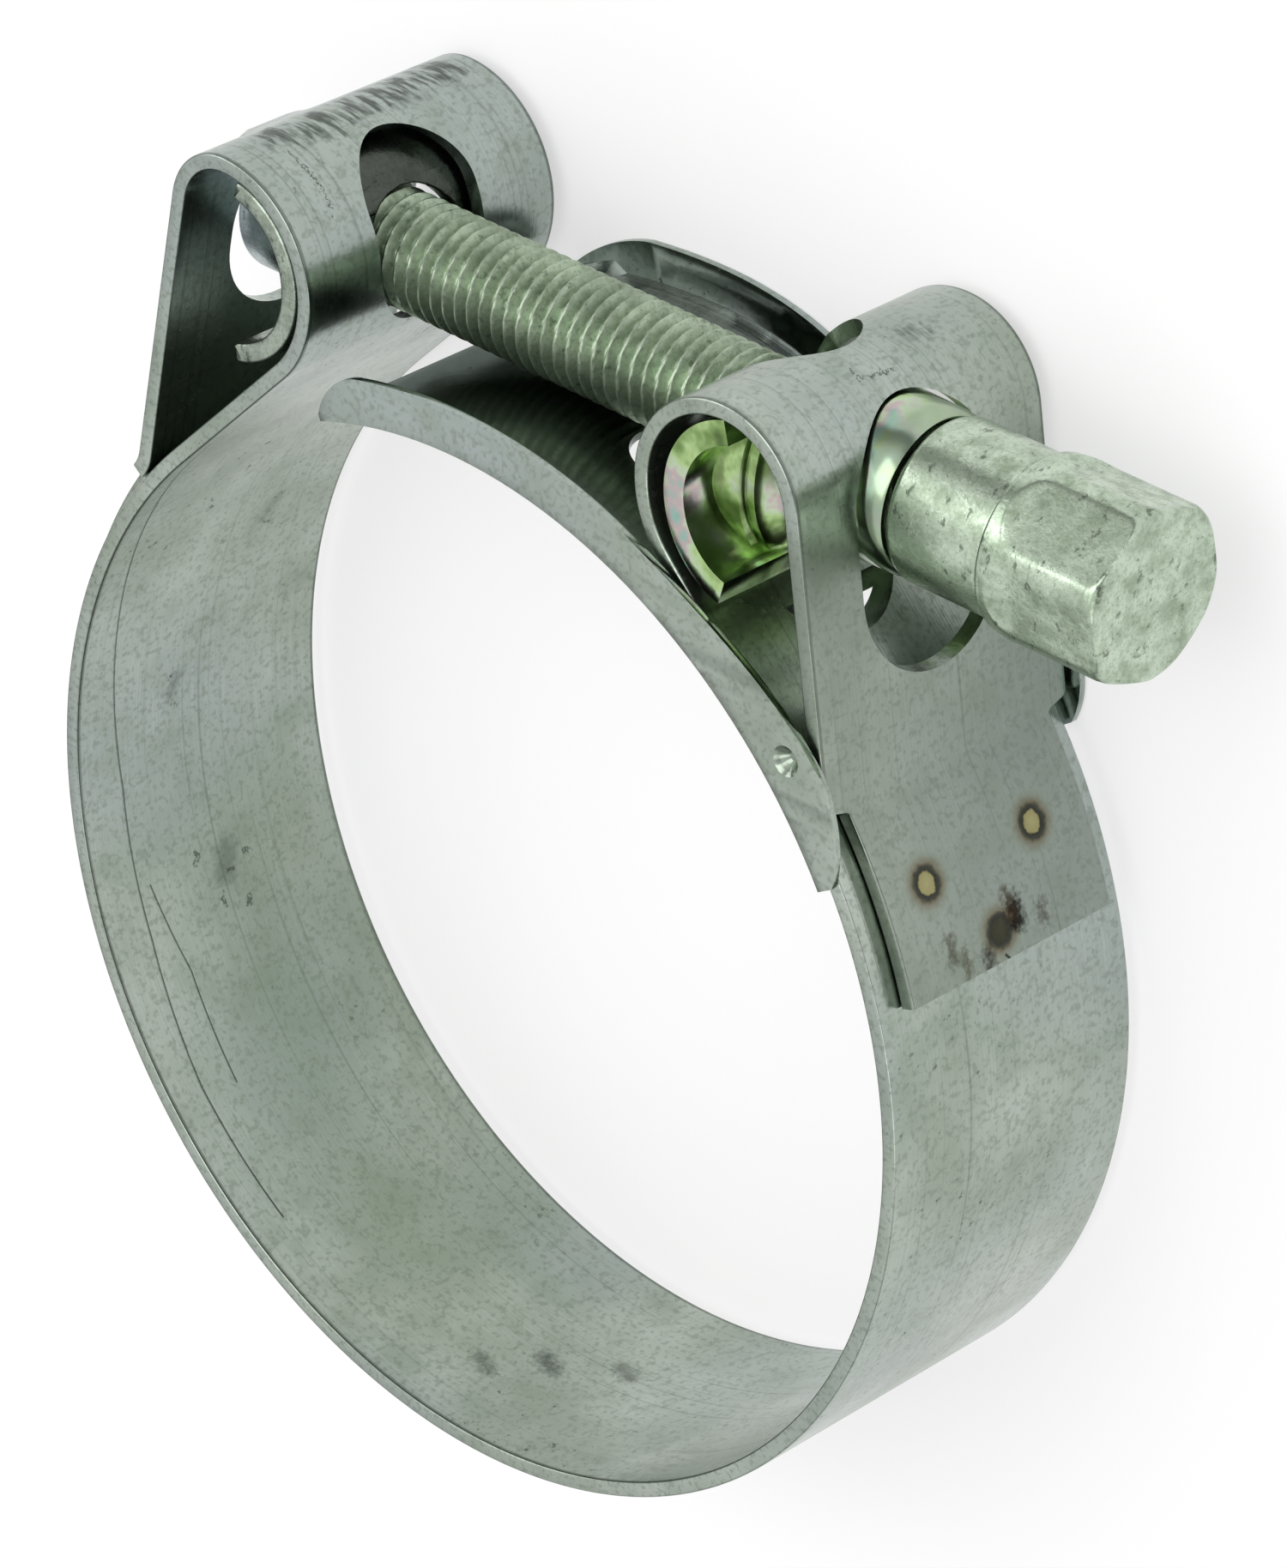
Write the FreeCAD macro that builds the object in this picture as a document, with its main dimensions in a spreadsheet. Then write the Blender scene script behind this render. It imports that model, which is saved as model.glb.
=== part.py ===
import FreeCAD, Part
import math
import os
import Sketcher

# Heavy-duty hose clamp, lying on the edge of its band.
# Z is the axis of the ring, the bolt lies along X with its head toward +X,
# and the origin is the middle of the ring. Millimetres and degrees.

SIZES = {
    # Band: one strip, coiled to a ring, with both ends looped back and welded down
    "band_width": 20.0,
    "band_wall": 1.0,
    "ring_inner_radius": 33.55,
    "leave_angle": 44.5,
    "right_curl_rise": -0.07,
    "right_side_radius": 6.5,
    "right_top_radius": 6.1,
    "right_shoulder_radius": 5.3,
    "left_curl_rise": 0.21,
    "left_side_radius": 7.0,
    "left_top_radius": 6.66,
    "left_shoulder_radius": 3.9,
    "leg_lean": 9.8,
    "leg_foot_radius": 3.0,
    "lap_gap": 0.1,
    "tab_end_angle": 18.0,
    "tab_shoulder_angle": 37.5,
    "tab_width": 16.6,
    "weld_radius": 1.25,
    "weld_dent": 0.15,
    "weld_dent_radius": 1.5,
    "upper_weld_angle": 28.4,
    "upper_weld_spacing": 8.7,
    "lower_weld_angle": 21.0,
    "right_leg_slot_below": 10.45,
    "left_leg_slot_below": 6.85,
    "leg_slot_top_gap": 0.1,
    "leg_slot_side_gap": 0.4,
    "side_slot_gap": 0.75,
    "side_slot_bottom_angle": 38.0,
    "side_slot_top_angle": 72.0,
    "crown_slot_angle": 48.5,
    # Bolt: its thread runs just over the bridge
    "bolt_over_bridge": 0.15,
    "thread_radius": 3.45,
    "thread_end_gap": 0.4,
    "thread_chamfer": 0.5,
    "neck_radius": 4.95,
    "neck_from_loop": 13.48,
    "neck_bevel": 0.6,
    "collar_radius": 5.35,
    "neck_length": 7.0,
    "head_length": 8.5,
    "head_corner_radius": 5.5,
    "head_face_radius": 4.85,
    "head_chamfer": 0.55,
    "head_across_flats": 10.0,
    "flat_from_collar": 2.6,
    "flat_root_radius": 3.2,
    "head_turn": -18.0,
    # Head trunnion: a bent saddle with a stepped socket drawn out of it
    "trunnion_radius": 5.9,
    "trunnion_rise": -0.3,
    "trunnion_wall": 1.5,
    "trunnion_span": 75.0,
    "trunnion_inset": 0.6,
    "trunnion_seat_gap": 1.05,
    "trunnion_bore_gap": 0.35,
    "socket_step_radius": 7.4,
    "socket_step_length": 2.0,
    "socket_ring_radius": 6.9,
    "socket_ring_length": 0.7,
    "socket_root_radius": 5.1,
    "socket_rim_radius": 4.95,
    "socket_wall": 0.55,
    "head_seat_gap": 0.3,
    # Nut saddle and round nut in the left loop
    "saddle_radius": 5.9,
    "saddle_wall": 1.2,
    "saddle_rise": 0.2,
    "saddle_span": 80.0,
    "saddle_inset": 0.6,
    "saddle_seat_gap": 0.5,
    "saddle_bore_gap": 0.35,
    "nut_radius": 4.5,
    "nut_length": 6.97,
    "nut_seat_gap": 0.15,
    "nut_face_rim": 0.3,
    "nut_chamfer": 2.0,
    "nut_outer_chamfer": 0.35,
    "thread_fit": 0.05,
    # Bridge: a channel across the gap, cocked at its free end
    "bridge_inset": 0.05,
    "bridge_wall": 0.45,
    "bridge_side_gap": 0.32,
    "bridge_free_angle": 109.5,
    "bridge_web_end_angle": 57.5,
    "bridge_near_tip_angle": 31.3,
    "bridge_far_tip_angle": 34.8,
    "bridge_flange": 2.8,
    "bridge_ear": 4.05,
    "bridge_lift": 2.0,
    "bridge_lift_fold": -3.0,
    "bridge_lift_start_angle": 56.0,
    "bridge_lift_full_angle": 84.0,
    "bridge_ear_angle": 41.0,
    "bridge_low_angle": 64.0,
    "bridge_sections": 9,
    "bridge_web_clear": 0.3,
    "bridge_tip_width": 1.2,
    "bridge_taper_bulge": 0.7,
    "bridge_near_end_slope": 3.0,
    "bridge_far_end_slope": 6.5,
    "bridge_end_round": 0.7,
    "window_left": 5.0,
    "window_right": 13.6,
    "window_width": 7.1,
    "window_corner_radius": 2.6,
    "dimple_angle": 43.6,
    "dimple_over_ring": 1.15,
    "dimple_radius": 1.05,
    "dimple_top_radius": 0.6,
    "dimple_depth": 0.75,
}

doc = FreeCAD.newDocument("hose_clamp")
sheet = doc.addObject("Spreadsheet::Sheet", "Sizes")
for row, (alias, value) in enumerate(SIZES.items(), start=1):
    sheet.set(f"A{row}", alias)
    sheet.set(f"B{row}", str(value))
    sheet.setAlias(f"B{row}", alias)
doc.recompute()


def size(alias):
    return float(sheet.get(alias))


def vec(x, y, z=0.0):
    return FreeCAD.Vector(x, y, z)


def polar(radius, degrees):
    angle = math.radians(degrees)
    return vec(radius * math.cos(angle), radius * math.sin(angle))


def new_body(name):
    body = doc.addObject("PartDesign::Body", name)
    body.Label = name
    return body


def origin_item(body, role):
    return next(item for item in body.Origin.OriginFeatures if item.Role == role)


def sketch_on(body, name, role, offset=None):
    """A sketch on one of the body's origin planes, moved from it by an offset placement."""
    sketch = body.newObject("Sketcher::SketchObject", name)
    sketch.AttachmentSupport = [(origin_item(body, role), "")]
    sketch.MapMode = "FlatFace"
    if offset is not None:
        sketch.AttachmentOffset = offset
    return sketch


def sketch_facing(body, name, degrees, through=None):
    """A sketch whose normal lies in the XY plane at an angle to +X. Its x runs around the
    ring's axis, counter-clockwise, and its y is the model's Z."""
    point = through or vec(0, 0)
    local = vec(point.y, point.z, point.x)
    turn = FreeCAD.Rotation(vec(0, 1, 0), degrees)
    return sketch_on(body, name, "YZ_Plane", FreeCAD.Placement(local, turn))


def level(height):
    return FreeCAD.Placement(vec(0, 0, height), FreeCAD.Rotation())


def join(sketch, first, second):
    sketch.addConstraint(Sketcher.Constraint("Coincident", first, 2, second, 1))


def closed_lines(sketch, points):
    first = sketch.GeometryCount
    for start, end in zip(points, points[1:] + points[:1]):
        sketch.addGeometry(Part.LineSegment(start, end), False)
    last = sketch.GeometryCount - 1
    for index in range(first, last):
        join(sketch, index, index + 1)
    join(sketch, last, first)


def bind(sketch, kind, geometry, alias, value):
    """A radius of a sketch's curve, held by a cell of the sheet or by a sum of cells."""
    index = sketch.addConstraint(Sketcher.Constraint(kind, geometry, value))
    sketch.setExpression(f"Constraints[{index}]", total(alias))


def total(aliases):
    """The sheet's formula for one alias, or for several joined by plus signs."""
    return " + ".join(f"Sizes.{alias}" for alias in aliases.split(" + "))


def rounded_slot(sketch, low, high, radius, alias):
    """A slot along the sketch's x, from low to high over its round ends."""
    left = vec(low + radius, 0)
    right = vec(high - radius, 0)
    up = vec(0, 0, 1)
    quarter = math.pi / 2
    sketch.addGeometry(Part.ArcOfCircle(Part.Circle(left, up, radius), quarter, 3 * quarter), False)
    sketch.addGeometry(Part.LineSegment(left - vec(0, radius), right - vec(0, radius)), False)
    sketch.addGeometry(Part.ArcOfCircle(Part.Circle(right, up, radius), -quarter, quarter), False)
    sketch.addGeometry(Part.LineSegment(right + vec(0, radius), left + vec(0, radius)), False)
    for index, following in ((0, 1), (1, 2), (2, 3), (3, 0)):
        sketch.addConstraint(Sketcher.Constraint("Tangent", index, 2, following, 1))
    bind(sketch, "Radius", 0, alias, radius)


def feature(body, kind, name, profile, **settings):
    made = body.newObject(f"PartDesign::{kind}", name)
    made.Profile = profile
    for key, value in settings.items():
        setattr(made, key, value)
    profile.Visibility = False
    return made


def cut_changes(body, name, before):
    """A cut that points away from the solid shows no error, so its volume is compared."""
    doc.recompute()
    if before - body.Shape.Volume < 1e-3:
        raise RuntimeError(f"{name} cuts nothing")


class Path:
    """A chain of tangent arcs and lines in the XY plane, drawn by a heading that turns."""

    def __init__(self, point, heading):
        self.point = point
        self.heading = heading
        self.parts = []

    def line(self, length):
        end = self.point + polar(length, self.heading)
        self.parts.append(("line", self.point, end, None))
        self.point = end
        return self

    def arc(self, radius, turn, alias):
        side = math.copysign(90.0, turn)
        centre = self.point + polar(radius, self.heading + side)
        end = centre + polar(radius, self.heading - side + turn)
        middle = centre + polar(radius, self.heading - side + turn / 2)
        self.parts.append(("arc", self.point, end, (middle, radius, turn, alias)))
        self.point = end
        self.heading += turn
        return self

    def draw(self, sketch, mirror):
        """Puts the chain in a sketch, mirrored left to right if asked, with tangent joints."""
        flip = -1.0 if mirror else 1.0
        ends = []
        for index, (kind, start, end, bend) in enumerate(self.parts):
            start = vec(flip * start.x, start.y)
            end = vec(flip * end.x, end.y)
            if kind == "line":
                sketch.addGeometry(Part.LineSegment(start, end), False)
                ends.append((1, 2))
            else:
                middle, radius, turn, alias = bend
                middle = vec(flip * middle.x, middle.y)
                counter_clockwise = flip * turn > 0
                if counter_clockwise:
                    arc = Part.Arc(start, middle, end)
                else:
                    arc = Part.Arc(end, middle, start)
                sketch.addGeometry(arc, False)
                ends.append((1, 2) if counter_clockwise else (2, 1))
                if alias:
                    bind(sketch, "Radius", index, alias, radius)
        for index in range(len(self.parts) - 1):
            here = ends[index][1]
            there = ends[index + 1][0]
            sketch.addConstraint(Sketcher.Constraint("Tangent", index, here, index + 1, there))


# Ring and laps, on the middle of the strip's wall
half_wall = size("band_wall") / 2
ring_mid = size("ring_inner_radius") + half_wall
ring_outer = ring_mid + half_wall
tab_mid = ring_mid + size("band_wall") + size("lap_gap")
half_width = size("band_width") / 2

# The bridge lines the ring's bore, and the bolt's axis clears the bridge
bridge_inner = size("ring_inner_radius") - size("bridge_inset")
bolt_axis = bridge_inner + size("bridge_wall") + size("bolt_over_bridge") + size("thread_radius")


def loop_path(side):
    """One end of the strip, drawn as the right-hand one: up the ring from its bottom, off along
    a tangent, round the loop, down the leg and back onto the ring as a welded tab."""
    leave = size("leave_angle")
    side_radius = size(f"{side}_side_radius")
    path = Path(vec(0, -ring_mid), 0.0)
    path.arc(ring_mid, 90.0 + leave, None)
    # The straight ramp is as long as brings the loop's middle to its height by the bolt's axis
    rise = bolt_axis + size(f"{side}_curl_rise") - polar(ring_mid + side_radius, leave).y
    path.line(rise / math.cos(math.radians(leave)))
    path.arc(side_radius, -leave, f"{side}_side_radius")
    side_top = path.point
    path.arc(size(f"{side}_top_radius"), -90.0, f"{side}_top_radius")
    path.arc(size(f"{side}_shoulder_radius"), size("leg_lean") - 90.0, f"{side}_shoulder_radius")
    # The leg runs until the foot's arc, on its outer side, touches the tab's circle
    foot = size("leg_foot_radius")
    along = polar(1.0, path.heading)
    centre = path.point + polar(foot, path.heading + 90.0)
    reach = tab_mid + foot
    drop = -centre.dot(along) - math.sqrt(centre.dot(along) ** 2 - centre.dot(centre) + reach ** 2)
    path.line(drop)
    landing = centre + along * drop
    touch = math.degrees(math.atan2(landing.y, landing.x))
    path.arc(foot, touch - 90.0 - path.heading, "leg_foot_radius")
    path.arc(tab_mid, size("tab_end_angle") - touch, None)
    return path, side_top


right_path, right_side = loop_path("right")
left_path, left_side = loop_path("left")
right_curl = vec(right_side.x + size("right_top_radius"), right_side.y)
left_curl = vec(-left_side.x - size("left_top_radius"), left_side.y)


def build_band():
    body = new_body("band")
    section = sketch_on(body, "band_section", "YZ_Plane")
    low = -ring_mid - half_wall
    high = -ring_mid + half_wall
    closed_lines(section, [
        vec(low, -half_width),
        vec(high, -half_width),
        vec(high, half_width),
        vec(low, half_width),
    ])

    for side, path in (("right", right_path), ("left", left_path)):
        line = sketch_on(body, f"{side}_path", "XY_Plane")
        path.draw(line, mirror=side == "left")
        feature(body, "AdditivePipe", f"{side}_strip", section, Spine=(line, []))
        line.Visibility = False
        doc.recompute()

    # Tabs narrower than the strip, cut in from both edges down to the lap
    half_tab = size("tab_width") / 2
    lap = ring_outer + size("lap_gap") / 2
    clear = tab_mid + size("band_wall")
    for side, flip in (("right", 1), ("left", -1)):
        cut = sketch_on(body, f"{side}_tab_side", "XY_Plane", level(half_tab))
        low = size("tab_end_angle") - 2.0
        high = size("tab_shoulder_angle")
        for radius in (lap, clear):
            points = [polar(radius, angle) for angle in (low, (low + high) / 2, high)]
            points = [vec(flip * point.x, point.y) for point in points]
            if flip < 0:
                points.reverse()
            cut.addGeometry(Part.Arc(*points), False)
        inner_ends = (polar(lap, low), polar(lap, high))
        outer_ends = (polar(clear, low), polar(clear, high))
        for index in (0, 1):
            start = vec(flip * inner_ends[index].x, inner_ends[index].y)
            end = vec(flip * outer_ends[index].x, outer_ends[index].y)
            cut.addGeometry(Part.LineSegment(start, end), False)
        before = body.Shape.Volume
        pocket = feature(body, "Pocket", f"{side}_tab_cut", cut, Reversed=True)
        pocket.setExpression("Length", "Sizes.band_width - Sizes.tab_width")
        cut_changes(body, pocket.Name, before)
        mirrored = body.newObject("PartDesign::Mirrored", f"{side}_tab_cuts")
        mirrored.Originals = [pocket]
        mirrored.MirrorPlane = (origin_item(body, "XY_Plane"), [""])
        body.Tip = mirrored
        doc.recompute()

    # Slots that the bolt passes through: one in each leg, one in each loop's inner side
    leg_slot = size("socket_root_radius") + size("leg_slot_side_gap")
    side_slot = size("thread_radius") + size("side_slot_gap")
    for side, flip, curl in (("right", 1, right_curl), ("left", -1, left_curl)):
        facing = 0 if flip > 0 else 180
        slot = sketch_facing(body, f"{side}_leg_slot", facing, vec(curl.x, 0))
        below = bolt_axis - size(f"{side}_leg_slot_below")
        above = bolt_axis + size("socket_root_radius") + size("leg_slot_top_gap")
        ends = [flip * below, flip * above]
        rounded_slot(slot, min(ends), max(ends), leg_slot, "socket_root_radius + leg_slot_side_gap")
        before = body.Shape.Volume
        pocket = feature(body, "Pocket", f"{side}_leg_opening", slot, Reversed=True)
        pocket.Length = size("band_width")
        cut_changes(body, pocket.Name, before)

        bottom = size("side_slot_bottom_angle")
        top = size("side_slot_top_angle")
        middle = (top - bottom) / 2
        facing = 180 - middle if flip > 0 else middle
        slot = sketch_facing(body, f"{side}_side_slot", facing, curl)
        reach = size(f"{side}_side_radius") * math.sin(math.radians((top + bottom) / 2))
        rounded_slot(slot, -reach, reach, side_slot, "thread_radius + side_slot_gap")
        before = body.Shape.Volume
        pocket = feature(body, "Pocket", f"{side}_side_opening", slot, Reversed=True)
        pocket.setExpression("Length", f"2 * Sizes.{side}_top_radius")
        cut_changes(body, pocket.Name, before)

    # The right loop's side slot runs on over the crown, to a round end square to the strip
    facing = 180.0 - size("crown_slot_angle")
    crown = body.newObject("PartDesign::SubtractiveCylinder", "crown_slot_end")
    turn = FreeCAD.Rotation(vec(0, 0, 1), polar(1.0, facing))
    crown.Placement = FreeCAD.Placement(right_curl, turn)
    crown.setExpression("Radius", total("thread_radius + side_slot_gap"))
    crown.setExpression("Height", "2 * Sizes.right_top_radius")
    doc.recompute()

    # Spot welds: a nugget across the lap and a shallow dent outside it
    spread = size("upper_weld_spacing") / 2
    spots = [
        (size("upper_weld_angle"), spread),
        (size("upper_weld_angle"), -spread),
        (size("lower_weld_angle"), 0.0),
    ]
    tab_outer = tab_mid + half_wall
    for side in ("right", "left"):
        for number, (angle, height) in enumerate(spots, start=1):
            around = angle if side == "right" else 180 - angle
            turn = FreeCAD.Rotation(vec(0, 0, 1), polar(1.0, around))
            nugget = body.newObject("PartDesign::AdditiveCylinder", f"{side}_nugget_{number}")
            nugget.Placement = FreeCAD.Placement(polar(ring_mid, around) + vec(0, 0, height), turn)
            nugget.setExpression("Radius", "Sizes.weld_radius")
            nugget.setExpression("Height", "Sizes.band_wall + Sizes.lap_gap")
            dent = body.newObject("PartDesign::SubtractiveCylinder", f"{side}_dent_{number}")
            base = polar(tab_outer - size("weld_dent"), around) + vec(0, 0, height)
            dent.Placement = FreeCAD.Placement(base, turn)
            dent.setExpression("Radius", "Sizes.weld_dent_radius")
            dent.setExpression("Height", "Sizes.band_wall")
            doc.recompute()
    return body


def build_bolt():
    """Turned along X with its axis on the origin, flats cut on the head, then set in place."""
    body = new_body("bolt")
    outline = sketch_on(body, "bolt_outline", "XY_Plane")
    end = nut_end + size("thread_end_gap")
    thread = size("thread_radius")
    chamfer = size("thread_chamfer")
    neck = neck_start
    bevel = size("neck_bevel")
    collar = neck + size("neck_length")
    tip = collar + size("head_length")
    points = [
        vec(end, 0),
        vec(end, thread - chamfer),
        vec(end + chamfer, thread),
        vec(neck, thread),
        vec(neck, size("neck_radius") - bevel),
        vec(neck + bevel, size("neck_radius")),
        vec(collar, size("neck_radius")),
        vec(collar, size("collar_radius")),
        vec(tip - size("head_chamfer"), size("head_corner_radius")),
        vec(tip, size("head_face_radius")),
        vec(tip, 0),
    ]
    closed_lines(outline, points)
    turned = feature(body, "Revolution", "turned_bolt", outline)
    turned.ReferenceAxis = (origin_item(body, "X_Axis"), [""])
    doc.recompute()

    # A flat with a rounded root, milled from the end of the head
    flat = sketch_on(body, "head_flat", "XY_Plane")
    height = size("head_across_flats") / 2
    start = collar + size("flat_from_collar")
    root = size("flat_root_radius")
    rise = 2 * (size("head_corner_radius") - height)
    away = math.degrees(math.acos(1 - rise / root))
    centre = vec(start, height + root)
    far = centre + polar(root, 270 - away)
    middle = centre + polar(root, 270 - away / 2)
    beyond = tip + size("head_chamfer")
    flat.addGeometry(Part.Arc(far, middle, vec(start, height)), False)
    flat.addGeometry(Part.LineSegment(vec(start, height), vec(beyond, height)), False)
    flat.addGeometry(Part.LineSegment(vec(beyond, height), vec(beyond, far.y)), False)
    flat.addGeometry(Part.LineSegment(vec(beyond, far.y), far), False)
    for index, following in ((0, 1), (1, 2), (2, 3), (3, 0)):
        join(flat, index, following)
    bind(flat, "Radius", 0, "flat_root_radius", root)
    before = body.Shape.Volume
    cut = feature(body, "Pocket", "flat_cut", flat, Midplane=True)
    cut.setExpression("Length", "4 * Sizes.head_corner_radius")
    cut_changes(body, cut.Name, before)
    six = body.newObject("PartDesign::PolarPattern", "six_flats")
    six.Originals = [cut]
    six.Axis = (origin_item(body, "X_Axis"), [""])
    six.Angle = 360
    six.Occurrences = 6
    body.Tip = six
    turn = FreeCAD.Rotation(vec(1, 0, 0), size("head_turn"))
    body.Placement = FreeCAD.Placement(vec(0, bolt_axis), turn)
    return body


def turned_profile(body, name, points):
    """A closed outline in the XY plane above the bolt's axis, given as (x, radius) pairs."""
    lift = FreeCAD.Placement(vec(0, bolt_axis), FreeCAD.Rotation())
    outline = sketch_on(body, name, "XY_Plane", lift)
    closed_lines(outline, [vec(x, radius) for x, radius in points])
    return outline


def turned(body, kind, name, outline):
    """A revolution or a groove about the bolt's axis."""
    made = feature(body, kind, name, outline)
    made.ReferenceAxis = (outline, ["H_Axis"])
    doc.recompute()
    return made


def bent_plate(body, name, facing, centre):
    """A plate bent to part of a tube about Z, its back toward the facing angle."""
    section = sketch_on(body, f"{name}_section", "XY_Plane")
    outer = size(f"{name}_radius")
    inner = outer - size(f"{name}_wall")
    span = size(f"{name}_span")
    angles = [facing - span, facing, facing + span]
    for radius in (inner, outer):
        section.addGeometry(Part.Arc(*[centre + polar(radius, angle) for angle in angles]), False)
    bind(section, "Radius", 1, f"{name}_radius", outer)
    for angle in (angles[0], angles[2]):
        ends = (centre + polar(inner, angle), centre + polar(outer, angle))
        section.addGeometry(Part.LineSegment(*ends), False)
    plate = feature(body, "Pad", f"{name}_plate", section, Midplane=True)
    plate.setExpression("Length", f"Sizes.band_width - Sizes.{name}_inset")
    doc.recompute()


# Where the two bent plates sit, each with its back a gap away from its loop's inner side
trunnion_back = right_side.x + half_wall + size("trunnion_seat_gap")
trunnion_centre = vec(trunnion_back + size("trunnion_radius"), bolt_axis + size("trunnion_rise"))
saddle_back = -left_side.x - half_wall - size("saddle_seat_gap")
saddle_centre = vec(saddle_back - size("saddle_radius"), bolt_axis + size("saddle_rise"))

# The nut's face, where its rim meets the saddle's hollow furthest from the hollow's middle
saddle_hollow = size("saddle_radius") - size("saddle_wall")
nut_bore = size("thread_radius") + size("thread_fit")
nut_face_radius = nut_bore + size("nut_face_rim")
rim_height = nut_face_radius + size("saddle_rise")
nut_face = saddle_centre.x + math.sqrt(saddle_hollow ** 2 - rim_height ** 2) - size("nut_seat_gap")
nut_end = nut_face - size("nut_length")
neck_start = right_side.x + size("neck_from_loop")


def build_head_trunnion():
    """A bent plate with a stepped socket drawn out of it toward the bolt's head."""
    body = new_body("head_trunnion")
    wall = size("socket_wall")
    face = trunnion_back + size("trunnion_wall")
    start = trunnion_back + size("trunnion_wall") / 2
    step = face + size("socket_step_length")
    ring = step + size("socket_ring_length")
    rim = neck_start - size("head_seat_gap")
    outline = turned_profile(body, "socket_steps", [
        (start, 0.0),
        (start, size("socket_step_radius")),
        (step, size("socket_step_radius")),
        (step, size("socket_ring_radius")),
        (ring, size("socket_ring_radius")),
        (ring + wall, size("socket_root_radius")),
        (rim - wall, size("socket_rim_radius")),
        (rim, size("socket_rim_radius") - wall / 2),
        (rim, 0.0),
    ])
    turned(body, "Revolution", "drawn_socket", outline)

    # The wide steps are flattened above and below, to the round that the loop leaves free
    limit = sketch_on(body, "socket_limit", "XY_Plane")
    inside = size("trunnion_radius") - wall / 2
    centre = trunnion_centre
    reach = 2 * size("socket_step_radius")
    end = ring + wall
    half = math.sqrt(inside ** 2 - (end - centre.x) ** 2)
    low = vec(end, centre.y - half)
    high = vec(end, centre.y + half)
    limit.addGeometry(Part.Arc(low, centre - vec(inside, 0), high), False)
    corners = [
        high,
        vec(end, centre.y + reach),
        vec(start - wall, centre.y + reach),
        vec(start - wall, centre.y - reach),
        vec(end, centre.y - reach),
        low,
    ]
    for first, second in zip(corners, corners[1:]):
        limit.addGeometry(Part.LineSegment(first, second), False)
    before = body.Shape.Volume
    trim = feature(body, "Pocket", "socket_trim", limit, Midplane=True)
    trim.setExpression("Length", "4 * Sizes.socket_step_radius")
    cut_changes(body, trim.Name, before)

    bent_plate(body, "trunnion", 180.0, trunnion_centre)
    hole = size("thread_radius") + size("trunnion_bore_gap")
    bore = turned_profile(body, "socket_bore", [
        (trunnion_back - wall, 0.0),
        (trunnion_back - wall, hole),
        (face, hole),
        (face, size("socket_rim_radius") - wall),
        (rim + wall, size("socket_rim_radius") - wall),
        (rim + wall, 0.0),
    ])
    before = body.Shape.Volume
    turned(body, "Groove", "drawn_bore", bore)
    cut_changes(body, "drawn_bore", before)
    return body


def build_nut_saddle():
    body = new_body("nut_saddle")
    bent_plate(body, "saddle", 0.0, saddle_centre)
    bore = size("thread_radius") + size("saddle_bore_gap")
    hole = turned_profile(body, "saddle_hole", [
        (saddle_centre.x, 0.0),
        (saddle_centre.x, bore),
        (saddle_back + size("saddle_wall"), bore),
        (saddle_back + size("saddle_wall"), 0.0),
    ])
    before = body.Shape.Volume
    turned(body, "Groove", "saddle_bore", hole)
    cut_changes(body, "saddle_bore", before)
    return body


def build_nut():
    """A round nut whose bevelled face sits in the hollow of the saddle."""
    body = new_body("nut")
    radius = size("nut_radius")
    bevel = size("nut_outer_chamfer")
    outline = turned_profile(body, "nut_outline", [
        (nut_end, nut_bore),
        (nut_end, radius - bevel),
        (nut_end + bevel, radius),
        (nut_face - size("nut_chamfer"), radius),
        (nut_face, nut_face_radius),
        (nut_face, nut_bore),
    ])
    turned(body, "Revolution", "turned_nut", outline)
    return body


def bridge_lift(angle):
    """How far the far side of the channel is bent up: none where the ears hold it, the full
    lift over its free span, with a smooth change between."""
    start = size("bridge_lift_start_angle")
    full = size("bridge_lift_full_angle")
    share = min(max((angle - start) / (full - start), 0.0), 1.0)
    return size("bridge_lift") * share * share * (3 - 2 * share)


def bridge_flange(angle):
    """Height of the flanges above the web's inner face: low over the gap, higher at the ears."""
    start = size("bridge_ear_angle")
    low = size("bridge_low_angle")
    share = min(max((low - angle) / (low - start), 0.0), 1.0)
    rise = size("bridge_ear") - size("bridge_flange")
    return size("bridge_flange") + rise * share * share * (3 - 2 * share)


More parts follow.
